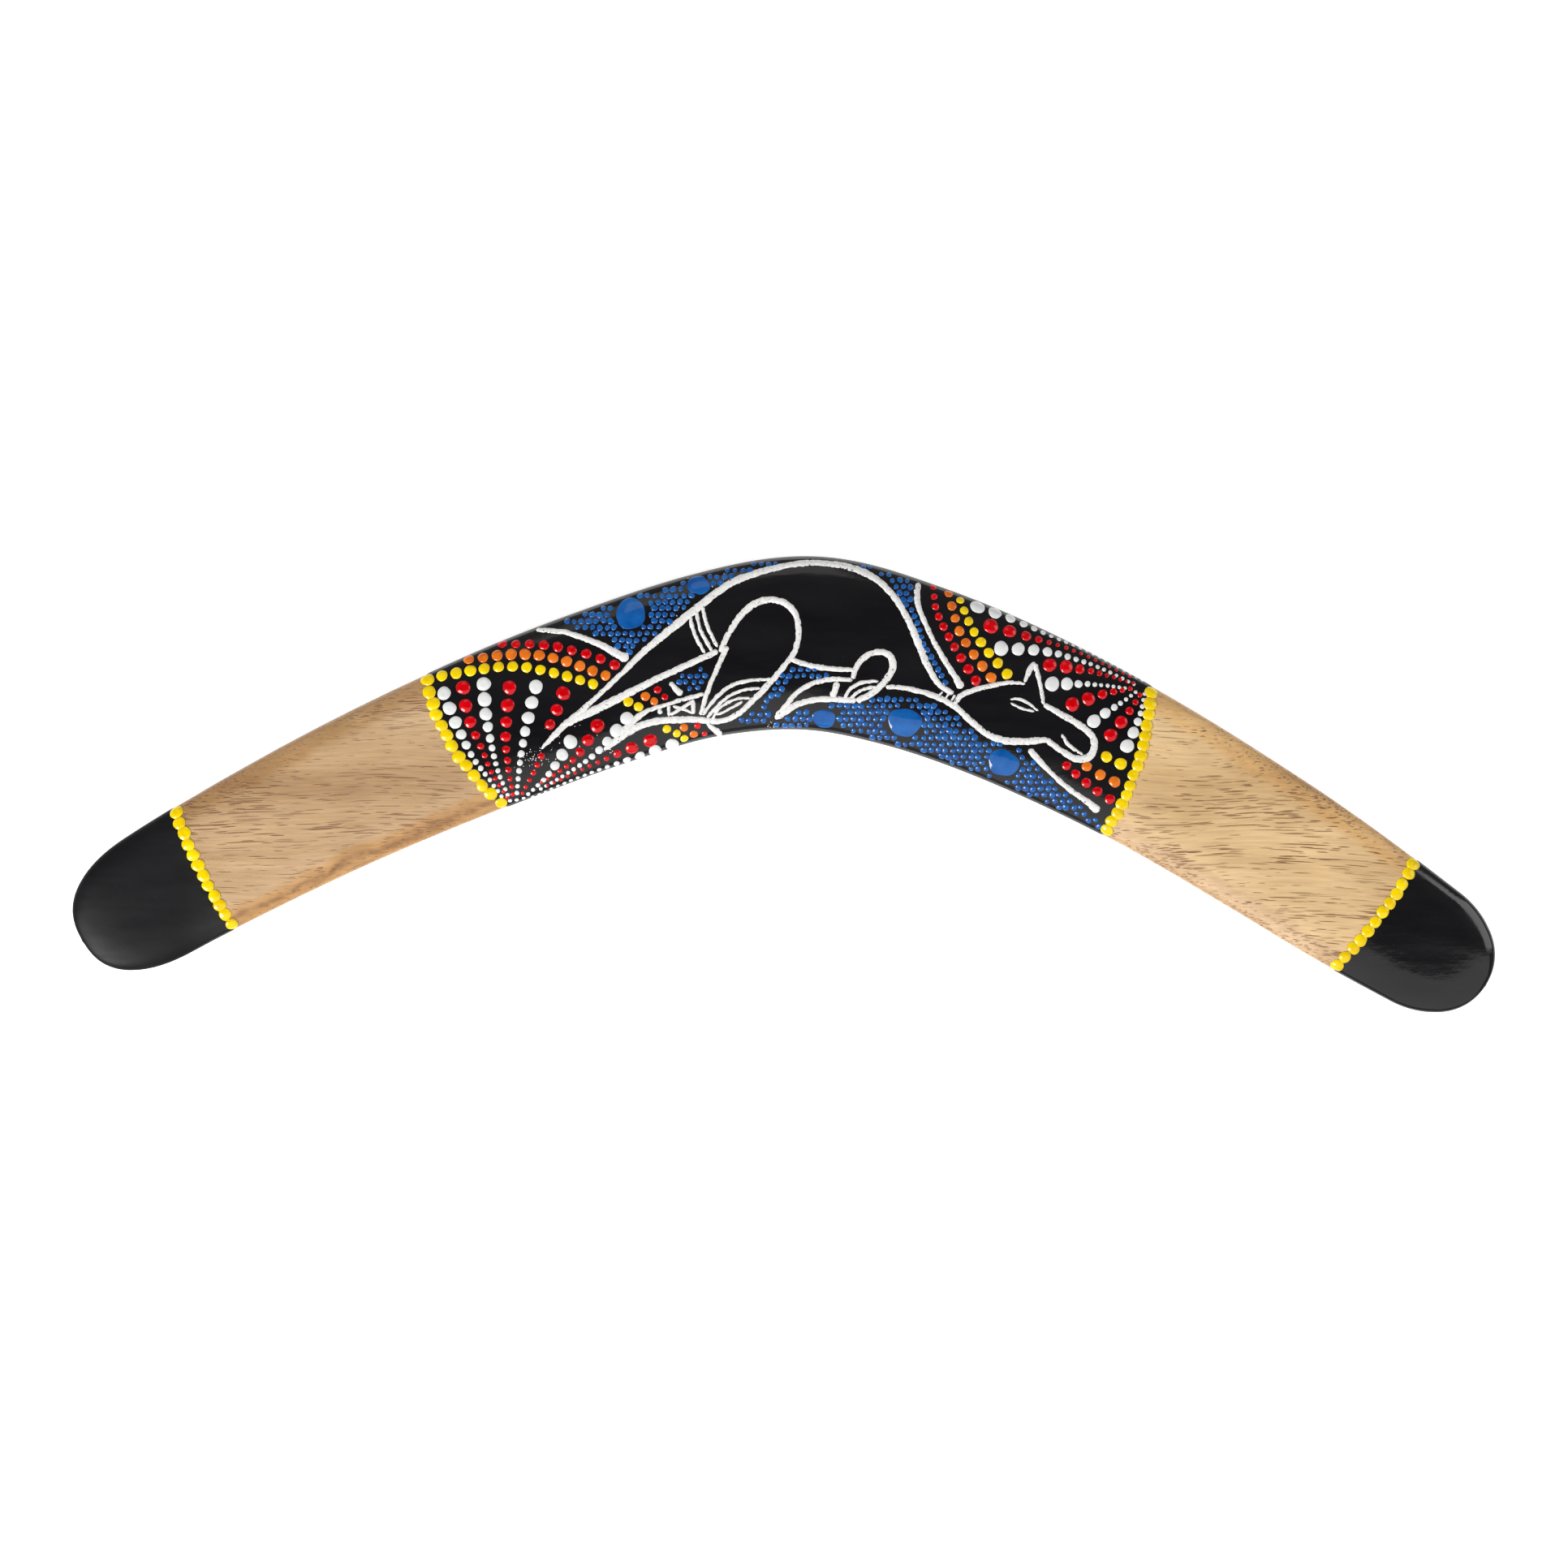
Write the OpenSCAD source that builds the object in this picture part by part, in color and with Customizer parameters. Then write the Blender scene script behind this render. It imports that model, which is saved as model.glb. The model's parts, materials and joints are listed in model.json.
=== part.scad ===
// Painted wooden boomerang, lying on its flat back.
// Millimetres. X runs from tip to tip, Y towards the outside of the elbow, Z up.
// The origin is under the middle of the bounding box, on the surface that the back rests on.

/* [Blank] */
// Thickness of the wood at the elbow
elbow_thick = 9.5; // [7:0.25:12]
// Thickness of the wood half way along each arm
arm_thick = 8; // [6:0.25:10]
// Thickness of the wood near each tip
tip_thick = 5.5; // [4:0.25:7]
// Height of the rounded edge's widest line, as a share of the thickness
nose_share = 0.5; // [0.3:0.05:0.6]
// How far the back of each tip is carved up off the table
tip_lift = 0.9; // [0.6:0.1:2]
// Sharpness of the bevel on the outer edge
outer_bevel = 4.5; // [3:0.5:8]
// Sharpness of the bevel on the inner edge
inner_bevel = 3.6; // [3:0.1:8]

/* [Paint] */
// Thickness of the black coats
coat_thick = 0.2; // [0.1:0.05:0.3]
// Height of the largest raised dots
dot_rise = 0.8; // [0.4:0.1:1.2]
// Height of the painted lines
line_rise = 0.3; // [0.15:0.05:0.5]

/* [Dots] */
// Diameter of the yellow border dots
border_dot = 3.1; // [2:0.1:3.2]
// Diameter of the largest dots of the fans
fan_dot = 4; // [3:0.1:4]
// Diameter of the smallest dots, next to the point of each fan
fan_dot_min = 1; // [0.8:0.1:1.4]
// How sharply the dots of a ray shrink about its half-way dot
ray_shrink = 2.5; // [1.5:0.5:4]
// Clear gap between the dots of a row
dot_gap = 0.7; // [0.6:0.1:1]
// Diameter of the dots in the small group above the foot
accent_dot = 2.8; // [2:0.1:2.9]
// Spacing of the small blue dots
stipple_pitch = 2.05; // [2:0.05:4]
// Diameter of the small blue dots
stipple_dot = 1.4; // [1:0.05:1.4]

/* [Hidden] */

// Ends of the spine, and how far back from each end the outline is rounded
left_end = -197;
right_end = 197;
left_round = 22;
right_round = 17;
left_round_power = 2.4;
right_round_power = 2.1;
// Length over which the thickness runs out at a tip
end_taper = 22;
// Sharpness of the small rounding under the edge
under_round = 14;
// Depth that the blank is let into the table plane before the back is cut flat
back_cut = 0.05;
// Where the lift of the tips starts, measured from the middle
lift_start = 135;
// Lap of the paint under the edge, in degrees round the section
under_lap = 22;
// Depth that dots and lines sink into the wet coat
sink = 0.05;

// Spine of the blank, from the left tip over the elbow to the right tip: [x, y]
spine = [
    [-196, -43.5], [-165, -25], [-125, -4], [-85, 14], [-50, 27.5], [-20, 36.5], [8, 39.5],
    [35, 33.5], [65, 22], [100, 4.5], [135, -16.5], [165, -36], [196, -56],
];
// Half of the width, square to the spine: [x, half width]
girth = [
    [-190, 17.75], [-150, 19.5], [-80, 21.75], [-30, 22.5], [8, 24.25],
    [40, 23.25], [100, 21.5], [155, 20], [190, 17],
];
// Thickness along the spine: [x, thickness]
thickness = [
    [-197, tip_thick - 1], [-160, tip_thick + 1], [-90, arm_thick], [8, elbow_thick],
    [90, arm_thick], [160, tip_thick + 1], [197, tip_thick - 1],
];

// Where each coat of paint ends: x on the spine's scale at the outer edge, middle and inner edge
left_tip_rim = [-162, -163.5, -163.5];
left_panel_rim = [-92, -93, -86.5];
right_panel_rim = [93, 99, 100];
right_tip_rim = [167, 167, 164.5];

// ---------- smooth curves through a few points ----------

function piece_of(v, x, i = 0) = (i >= len(v) - 2 || x <= v[i + 1][0]) ? i : piece_of(v, x, i + 1);
function knot_slope(v, i) =
    let (a = max(0, i - 1), b = min(len(v) - 1, i + 1))
    (v[b][1] - v[a][1]) / (v[b][0] - v[a][0]);
function smooth(v, x) =
    let (i = piece_of(v, x), h = v[i + 1][0] - v[i][0], t = (x - v[i][0]) / h)
    (2 * t^3 - 3 * t^2 + 1) * v[i][1] + (t^3 - 2 * t^2 + t) * h * knot_slope(v, i)
    + (3 * t^2 - 2 * t^3) * v[i + 1][1] + (t^3 - t^2) * h * knot_slope(v, i + 1);
function smooth_slope(v, x) = (smooth(v, x + 0.05) - smooth(v, x - 0.05)) / 0.1;

// A smooth curve through points in the plane, at t from 0 to 1 along the list
function along(p, t) =
    let (n = len(p) - 1, s = min(t * n, n - 0.0001), i = floor(s), f = s - i,
         a = p[i], b = p[i + 1], before = p[max(0, i - 1)], after = p[min(n, i + 2)],
         ma = (b - before) / 2, mb = (after - a) / 2)
    (2 * f^3 - 3 * f^2 + 1) * a + (f^3 - 2 * f^2 + f) * ma + (3 * f^2 - 2 * f^3) * b + (f^3 - f^2) * mb;

// ---------- surface of the blank ----------

// Share of the full width or height that is left at a distance from a rounded end
function fade(d, reach, power, root) =
    pow(max(0, 1 - pow(1 - min(1, max(0, d / reach)), power)), 1 / root);
function half_width(x) =
    smooth(girth, min(190, max(-190, x)))
    * fade(x - left_end, left_round, left_round_power, left_round_power)
    * fade(right_end - x, right_round, right_round_power, right_round_power);
function end_height(x, power) =
    fade(x - left_end, end_taper, power, 2) * fade(right_end - x, end_taper, power, 2);
function lift(x) =
    let (t = min(1, max(0, (abs(x) - lift_start) / (right_end - lift_start))))
    tip_lift * t * t * (3 - 2 * t);
function nose(x) = nose_share * smooth(thickness, x);
function normal_at(x) = let (m = smooth_slope(spine, x)) [-m, 1] / sqrt(1 + m * m);

// Height of the top and of the back, at u across the width from -1 (inner) to 1 (outer)
function top_height(x, u) =
    lift(x) + nose(x) + (smooth(thickness, x) - nose(x)) * end_height(x, 4)
    * sqrt(max(0, 1 - pow(abs(u), u > 0 ? outer_bevel : inner_bevel)));
function back_height(x, u) =
    lift(x) + nose(x) * (1 - end_height(x, under_round) * sqrt(max(0, 1 - pow(abs(u), under_round))));

// Point on the section at angle a: 0 outer edge, 90 top, 180 inner edge, 270 back.
// rise moves it outwards by the thickness of a coat.
function skin(x, a, rise = 0) =
    let (u = cos(a), on_top = sin(a) >= 0, n = normal_at(x), w = (half_width(x) + rise) * u,
         z = on_top ? top_height(x, u) : back_height(x, u))
    [x + n[0] * w, smooth(spine, x) + n[1] * w, z - back_cut + rise * sin(a)];

// x on the spine's scale of the section that passes through the plan point p
function section_of(p, x, turns = 6) =
    turns == 0 ? x
    : let (m = smooth_slope(spine, x), d = p - [x, smooth(spine, x)])
      section_of(p, x + (d[0] + m * d[1]) / (1 + m * m), turns - 1);
function across(p, x) = (p - [x, smooth(spine, x)]) * normal_at(x) / max(0.01, half_width(x));
// Height of the painted surface over the plan point p
function paint_height(p) =
    let (x = section_of(p, p[0]), u = min(0.995, max(-0.995, across(p, x))))
    top_height(x, u) - back_cut + coat_thick;
function paint_point(p) = [p[0], p[1], paint_height(p)];
function paint_normal(p) =
    let (e = 0.3,
         gx = (paint_height(p + [e, 0]) - paint_height(p - [e, 0])) / (2 * e),
         gy = (paint_height(p + [0, e]) - paint_height(p - [0, e])) / (2 * e))
    [-gx, -gy, 1] / sqrt(gx * gx + gy * gy + 1);

// x on the spine's scale of a coat's rim, at u across the width
function rim_x(rim, u) = rim[1] + (rim[0] - rim[2]) / 2 * u + ((rim[0] + rim[2]) / 2 - rim[1]) * u * u;
function rim_point(rim, u) =
    let (x = rim_x(rim, u), n = normal_at(x), w = half_width(x) * u)
    [x + n[0] * w, smooth(spine, x) + n[1] * w];

// ---------- closed meshes ----------

function turned(face, flip) = flip ? [face[2], face[1], face[0]] : face;
// Triangles between consecutive rings of n points
function strip_faces(rows, n, flip = false) = [
    for (i = [0:rows - 2], j = [0:n - 1])
        let (a = i * n + j, b = i * n + (j + 1) % n)
        each [turned([a, b, b + n], flip), turned([a, b + n, a + n], flip)],
];

tip_rings = 7;
arm_rings = 46;
ring_points = 32;
blank_stations = concat(
    [for (i = [1:tip_rings]) left_end + end_taper * (1 - cos(90 * i / tip_rings))],
    [for (i = [1:arm_rings - 1])
        left_end + end_taper + (right_end - left_end - 2 * end_taper) * i / arm_rings],
    [for (i = [tip_rings:-1:1]) right_end - end_taper * (1 - cos(90 * i / tip_rings))]);

module blank_solid() {
    rings = len(blank_stations);
    points = concat(
        [for (x = blank_stations, j = [0:ring_points - 1]) skin(x, 360 * j / ring_points)],
        [skin(left_end, 90), skin(right_end, 90)]);
    left_pole = rings * ring_points;
    last = (rings - 1) * ring_points;
    polyhedron(points, concat(
        strip_faces(rings, ring_points, true),
        [for (j = [0:ring_points - 1]) [left_pole, j, (j + 1) % ring_points]],
        [for (j = [0:ring_points - 1]) [left_pole + 1, last + (j + 1) % ring_points, last + j]]));
}

// A coat of paint: rows run round the section, columns run from rim to rim, or from a rim to a tip.
coat_rows = 20;
function coat_angle(i) = -under_lap + (180 + 2 * under_lap) * i / coat_rows;
function coat_x(rim, goal, on_tip, u, t) =
    let (x = rim_x(rim, u))
    on_tip ? x + (goal - x) * sin(90 * t) : x + (rim_x(goal, u) - x) * t;
function coat_points(rim, goal, on_tip, columns, rise) = [
    for (i = [0:coat_rows], j = [0:columns])
        let (a = coat_angle(i))
        on_tip && j == columns ? tip_point(goal, rise)
        : skin(coat_x(rim, goal, on_tip, cos(a), j / columns), a, rise),
];
function tip_point(x, rise) = let (n = normal_at(x)) skin(x, 90) + rise * sign(x) * [n[1], -n[0], 0];
// One side of the coat; on a tip the last column shrinks to a point and takes one triangle a row
function coat_side(columns, start, flip, on_tip) = [
    for (i = [0:coat_rows - 1], j = [0:columns - 1])
        let (a = start + i * (columns + 1) + j, b = a + columns + 1,
             near = [a, b, b + 1], far = [a, b + 1, a + 1],
             tip_face = [a, b, a + 1])
        each (on_tip && j == columns - 1 ? [turned(tip_face, flip)]
            : [turned(near, flip), turned(far, flip)]),
];
// The band that joins the outer and the inner side along a run of outer points
function coat_band(run, shift) = [
    for (k = [0:len(run) - 2])
        let (a = run[k], b = run[k + 1])
        each [[a, b, b + shift], [a, b + shift, a + shift]],
];

module coat(rim, goal, columns, on_tip = false, flip = false) {
    outer = coat_points(rim, goal, on_tip, columns, coat_thick);
    inner = coat_points(rim, goal, on_tip, columns, 0);
    shift = len(outer);
    row = columns + 1;
    first_row = [for (j = [0:columns]) j];
    last_row = [for (j = [columns:-1:0]) coat_rows * row + j];
    first_column = [for (i = [coat_rows:-1:0]) i * row];
    last_column = [for (i = [0:coat_rows]) i * row + columns];
    bands = concat(
        coat_band(first_row, shift), coat_band(last_row, shift), coat_band(first_column, shift),
        on_tip ? [] : coat_band(last_column, shift));
    polyhedron(concat(outer, inner), concat(
        coat_side(columns, 0, flip, on_tip),
        coat_side(columns, shift, !flip, on_tip),
        [for (f = bands) turned(f, flip)]));
}

// A brush line through points [x, y, width], laid on the paint
line_step = 2.4;
function run_length(p) = len(p) < 2 ? 0 : norm([p[1][0] - p[0][0], p[1][1] - p[0][1]])
    + run_length([for (i = [1:1:len(p) - 1]) p[i]]);
module brush_line(p) {
    steps = max(3, ceil(run_length(p) / line_step));
    last = steps * 4;
    path = [for (i = [0:steps]) along(p, i / steps)];
    points = [for (i = [0:steps])
        let (ahead = path[min(steps, i + 1)], behind = path[max(0, i - 1)],
             d = [ahead[0] - behind[0], ahead[1] - behind[1]], n = [-d[1], d[0]] / norm(d),
             w = path[i][2] / 2, c = [path[i][0], path[i][1]],
             left = paint_point(c + n * w), right = paint_point(c - n * w),
             left_top = paint_point(c + n * w * 0.7), right_top = paint_point(c - n * w * 0.7))
        each [left - [0, 0, sink], right - [0, 0, sink],
              right_top + [0, 0, line_rise], left_top + [0, 0, line_rise]]];
    polyhedron(points, concat(
        strip_faces(steps + 1, 4),
        [[2, 1, 0], [3, 2, 0]],
        [[last, last + 1, last + 2], [last, last + 2, last + 3]]));
}

// A raised dot of paint at the plan point p, square to the surface
module dot(p, d) {
    n = paint_normal(p);
    h = dot_rise * min(1, d / fan_dot);
    translate(paint_point(p))
    rotate([0, acos(n[2]), atan2(n[1], n[0])])
    translate([0, 0, -sink])
    cylinder(h = h + sink, r1 = d / 2, r2 = d * 0.3, $fn = 24);
}

// Dots in a row along a coat's rim, from the outer edge to the inner edge
module border(rim, count, reach = 0.93) {
    places = [for (i = [0:count - 1]) rim_point(rim, reach - 2 * reach * i / (count - 1))];
    spacing = norm(places[1] - places[0]);
    for (i = [0:count - 1]) dot(places[i], min(border_dot, 0.95 * spacing) * (1 - 0.1 * i / count));
}

// A row of dots of the given diameters, spread over a curve with equal gaps between them
table_steps = 60;
function run_table(p) = [
    for (i = 0, run = 0; i <= table_steps;
         run = run + norm(along(p, min(1, (i + 1) / table_steps)) - along(p, i / table_steps)), i = i + 1)
        [run, i / table_steps]];
function total(v, n) = n <= 0 ? 0 : v[n - 1] + total(v, n - 1);
module dot_row(p, sizes) {
    count = len(sizes);
    table = run_table(p);
    steps = [for (i = [0:count - 2]) (sizes[i] + sizes[i + 1]) / 2 + dot_gap];
    length = table[table_steps][0];
    for (i = [0:count - 1])
        dot(along(p, lookup(length * total(steps, i) / total(steps, count - 1), table)), sizes[i]);
}
function even_sizes(count, first, last) = [for (i = [0:count - 1]) first + (last - first) * i / (count - 1)];
// Diameters along a ray: large at first, half shrunk at the dot numbered half, then small
function ray_sizes(count, half) = [
    for (i = [0:count - 1]) fan_dot_min + (fan_dot - fan_dot_min) / (1 + pow(i / half, ray_shrink))];
module rays(list) {
    for (r = list) dot_row(r[2], ray_sizes(r[0], r[1]));
}

// Small dots scattered over an outlined area, each up to stipple_wander off an even pattern
stipple_wander = 0.16;
function crosses(p, a, b) =
    (a[1] > p[1]) != (b[1] > p[1]) && p[0] < (b[0] - a[0]) * (p[1] - a[1]) / (b[1] - a[1]) + a[0];
function inside(p, area) =
    len([for (i = [0:len(area) - 1]) if (crosses(p, area[i], area[(i + 1) % len(area)])) 1]) % 2 == 1;
function clear_of_discs(p) =
    len([for (c = large_blue) if (norm(p - [c[0], c[1]]) < (c[2] + stipple_dot) / 2) 1]) == 0;
module stipple(area, seed) {
    xs = [for (p = area) p[0]];
    ys = [for (p = area) p[1]];
    columns = ceil((max(xs) - min(xs)) / stipple_pitch);
    row_pitch = stipple_pitch * 0.87;
    rows = ceil((max(ys) - min(ys)) / row_pitch);
    wander = rands(-1, 1, 3 * (columns + 1) * (rows + 1), seed);
    for (i = [0:columns], j = [0:rows]) {
        k = 3 * (i * (rows + 1) + j);
        p = [min(xs) + (i + (j % 2) / 2) * stipple_pitch + wander[k] * stipple_wander,
             min(ys) + j * row_pitch + wander[k + 1] * stipple_wander];
        if (inside(p, area) && clear_of_discs(p)) dot(p, stipple_dot * (1 + 0.18 * wander[k + 2]));
    }
}

// ---------- drawing, in plan: fans and arcs ----------

// Each ray: [number of dots, half-way dot, curve from its outer end to the point of the fan]
left_white_rays = [
    [13, 3.9, [[-95.3, 25.5], [-92, 17], [-87.2, 7.5], [-83, 1.8], [-79.2, -3.5]]],
    [14, 3.9, [[-84.2, 28], [-83.5, 19], [-81.8, 10], [-79.8, 2.7], [-76.8, -4.7]]],
    [12, 4, [[-69.5, 27.2], [-72.5, 15], [-74.4, 2.5], [-75, -4.5]]],
    [9, 2.1, [[-59.9, 11.8], [-65.8, 2.9], [-73, -4]]],
    [14, 2.6, [[-44, 18.3], [-52.2, 9], [-61, 2.8], [-68.2, -1.4]]],
    [17, 2.8, [[-31.3, 11], [-40.2, 8], [-51.8, 4], [-62.2, 0], [-70.5, -3.7]]],
];
left_red_rays = [
    [12, 3.2, [[-90, 27], [-88.5, 19], [-85, 10.5], [-81.7, 2.8], [-77.5, -3.8]]],
    [10, 3.8, [[-77, 27], [-78, 15], [-77.5, 6], [-76, -3]]],
    [9, 2, [[-52.3, 16.3], [-59.2, 6.5], [-67.9, 0.4]]],
    [12, 1.8, [[-37.5, 12], [-51.1, 6.5], [-66.5, -0.6]]],
];
// The ray that the tail's tip crosses: its upper and its lower run
left_crossed_ray = [[-61.8, 25.4], [-63.5, 21], [-65.6, 16.7]];
left_crossed_end = [[-68, 7.8], [-70.5, 2.7], [-73.3, -2.6]];
left_yellow_curve = [[-96, 30.5], [-78.5, 33], [-66, 31.5], [-53.5, 28]];
left_orange_curve = [[-88.5, 35], [-75.5, 36.5], [-64, 35.2], [-50, 30.4]];
left_red_curve = [[-79, 39.3], [-67, 39], [-54.6, 36.2], [-47.5, 33.3]];

right_white_rays = [
    [21, 3, [[54.3, 49.8], [63.5, 46.5], [74, 41.9], [86, 36.6], [100.4, 28.9]]],
    [16, 3.2, [[60.8, 38], [73.5, 37.2], [84.5, 34.2], [92.6, 30.8], [98.2, 28]]],
    [10, 1.8, [[75.2, 28], [86, 28], [95.6, 26.9]]],
    [7, 1.4, [[86.8, 17.6], [94.2, 22.6], [98.6, 25.8]]],
    [7, 1.8, [[96.2, 10.6], [99.4, 18], [101.2, 25.3]]],
];
right_red_rays = [
    [16, 2.2, [[58, 44.3], [69.3, 41.2], [81.7, 37.3], [97, 30.2]]],
    [10, 2.2, [[74.5, 33.4], [85.7, 31.8], [98, 28.3]]],
    [6, 2.2, [[80.8, 22.3], [89.2, 25.1], [97.2, 26.8]]],
    [5, 2, [[91.6, 13.7], [96.7, 20.2], [99.8, 25]]],
];
right_red_curve = [[41.9, 55.2], [43, 48], [47.9, 38.2], [53.8, 29]];
right_orange_curve = [[46.2, 53.4], [49, 43.3], [53, 36.6], [58, 29.8]];
right_yellow_curve = [[49.4, 51.6], [52.9, 43.4], [56.8, 37.6], [62.5, 30.8]];

// Small groups, as [x, y, share of accent_dot]: above the foot, under the foot, under the muzzle
accent_yellow = [
    [-43.6, 23, 1], [-40.7, 21.6, 1],
    [-32.8, 15.4, 0.88], [-30, 14.1, 0.8], [-27.9, 12.7, 0.8],
    [90.4, 7.6, 1.2], [94.4, 5.6, 1.2],
];
accent_orange = [
    [-38.8, 24.6, 0.92], [-36.4, 23.2, 0.86],
    [-28, 15.8, 0.86], [-25.3, 13.9, 0.82],
    [84.8, 4.9, 1.04], [88.6, 2.5, 1.18], [92.7, 0.6, 1.18],
];
accent_red = [
    [-35.4, 26.4, 0.8], [-33.4, 24.3, 0.68],
    [-24.2, 16.2, 0.64], [-22.3, 14, 0.58],
    [79.2, 5.1, 0.9], [81.8, 2.8, 0.95], [84.8, 0.3, 1], [87.8, -2.1, 1.04], [91.3, -4.3, 1.08],
];
large_blue = [[-43, 48, 9], [-24, 56, 6], [11.2, 18.2, 6.4], [33.8, 17.2, 8.5], [61.5, 5.9, 8]];

// ---------- drawing, in plan: white lines as [x, y, width] ----------

dividers = [
    [[-69.5, 43.2, 1.2], [-65, 43, 1.4], [-60, 42.2, 1.5], [-52, 39.3, 1.7], [-46.5, 36.3, 2.2],
     [-45, 35.6, 2.6], [-43.6, 34.9, 2.8]],
    [[37.6, 56.5, 1.6], [37.3, 52, 1.8], [38.3, 48, 1.5], [43, 38, 1.5], [48.3, 29.5, 1.9], [49.8, 26.8, 2.8]],
    [[68.7, 9.8, 2], [71.5, 6.5, 1.6], [76, 2, 1.5], [80, -1.5, 1.5], [85, -5, 1.8], [88.3, -7.7, 2.6]],
    [[-21.7, 17, 1], [-19.6, 15.4, 1.5], [-17.5, 13.7, 2]],
    [[-32, 28.5, 1.4], [-30.4, 26.8, 1.6], [-28.7, 24.9, 2.2]],
];
body_lines = [
    // back, from the tail's tip over the rump to the shoulder
    [[-68, 9.8, 0.6], [-65, 13, 1.6], [-61.5, 16.5, 1.8], [-54, 23, 1.4], [-46, 30.5, 1.5], [-40.5, 36, 1.9],
     [-32.5, 42.8, 2.2], [-26, 48, 2.3], [-16.5, 55.3, 2.1], [-9, 58.8, 1.9], [1, 61.3, 1.7], [9, 62, 1.6],
     [17.5, 61, 1.8], [24.5, 58.3, 1.9], [30, 53.5, 1.8], [34, 47.5, 1.9], [37, 41, 2], [40, 33.5, 1.9],
     [43.5, 28, 1.6], [47.5, 25.3, 1.5]],
    // underside of the tail
    [[-61, 16.8, 1.8], [-55, 19.8, 2.2], [-50, 22.2, 2.3], [-44, 25.2, 2.1], [-37, 28.8, 1.9],
     [-30, 32, 1.8], [-18.5, 37.3, 1.8]],
    // belly
    [[1.5, 35.3, 1.4], [6, 33.5, 1.6], [12.5, 32.4, 1.6], [19.5, 32, 1.2]],
];
head_lines = [
    // throat and jaw
    [[28.5, 27.2, 1.3], [34.5, 26.8, 1.5], [41, 25, 1.6], [47.5, 22, 1.8], [52, 18, 1.7], [56.5, 14.2, 1.8],
     [61.5, 12.2, 2], [68.5, 12, 2], [74, 12.5, 1.6]],
    // muzzle and brow
    [[73.5, 12.5, 1.6], [77.5, 9.5, 1.8], [81.5, 7.2, 2], [85.3, 7.4, 2.2], [87, 10.5, 2], [86, 14, 1.8],
     [81.5, 17.4, 1.8], [77.5, 19.6, 1.7], [72.8, 22.3, 1.3]],
    // ear
    [[72.8, 22.3, 1], [71.8, 28, 1.3], [70.3, 33.8, 1.4]],
    [[70.3, 34.2, 1], [68.8, 32, 1.7], [67.4, 28.5, 0.8]],
    // crown, back to the neck
    [[67.6, 28.1, 0.8], [63, 28.4, 1.2], [56.5, 27.2, 1.4], [50, 25, 1.6], [47.7, 22, 1.3]],
    // neck bands, eye and mouth
    [[43.4, 24.6, 0.6], [44.5, 25.9, 0.7]],
    [[45.2, 24, 0.6], [46.3, 25.5, 0.7]],
    [[46.9, 23.4, 0.6], [48, 25, 0.7]],
    [[63.4, 23.7, 0.6], [66.5, 23.6, 0.9], [71.3, 20.5, 0.6]],
    [[63.4, 22.7, 0.5], [66.5, 21.3, 0.9], [70.2, 20.3, 0.5]],
    [[77.8, 14, 0.8], [80, 10.8, 1.1], [83.8, 8.2, 0.8]],
];
arm_lines = [
    // elbow loop
    [[19.5, 29.4, 1.3], [20, 32.2, 1.6], [22, 35, 1.7], [25.4, 36.9, 1.7], [28.7, 36.6, 1.8], [30.4, 34.4, 1.9],
     [30.1, 31.6, 2], [27.6, 28, 1.9], [24.2, 25.2, 1.8], [20.3, 23.2, 1.7]],
    // top and underside of the forearm
    [[19.2, 29.1, 1.2], [13.6, 29.4, 1.4], [8, 28.2, 1.4], [3.5, 25.4, 1.4], [0.2, 21.5, 1.5], [-2.4, 18.2, 1]],
    [[-2.4, 18.2, 0.9], [0.7, 20.4, 1.7], [4.6, 22.6, 1.7], [10.8, 23.8, 1.7], [16.4, 23.5, 1.7],
     [20.3, 23.5, 1.5]],
    // paw
    [[0.8, 21.2, 1.2], [-1, 19.6, 2.4], [-2.2, 18.4, 1.4]],
    // band on the forearm
    [[14.9, 28.7, 1.8], [14.3, 26.4, 1.8], [13.5, 24.2, 1.8]],
    // folds inside the elbow loop
    [[17, 23.8, 0.9], [18.1, 26, 1.1], [20.6, 28, 1.2], [24.2, 28.8, 1.1], [26.5, 28.8, 0.8]],
    [[18.6, 23.8, 0.8], [20.4, 25.6, 0.9], [23.2, 26.8, 0.9], [26, 27.3, 0.8]],
];
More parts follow.
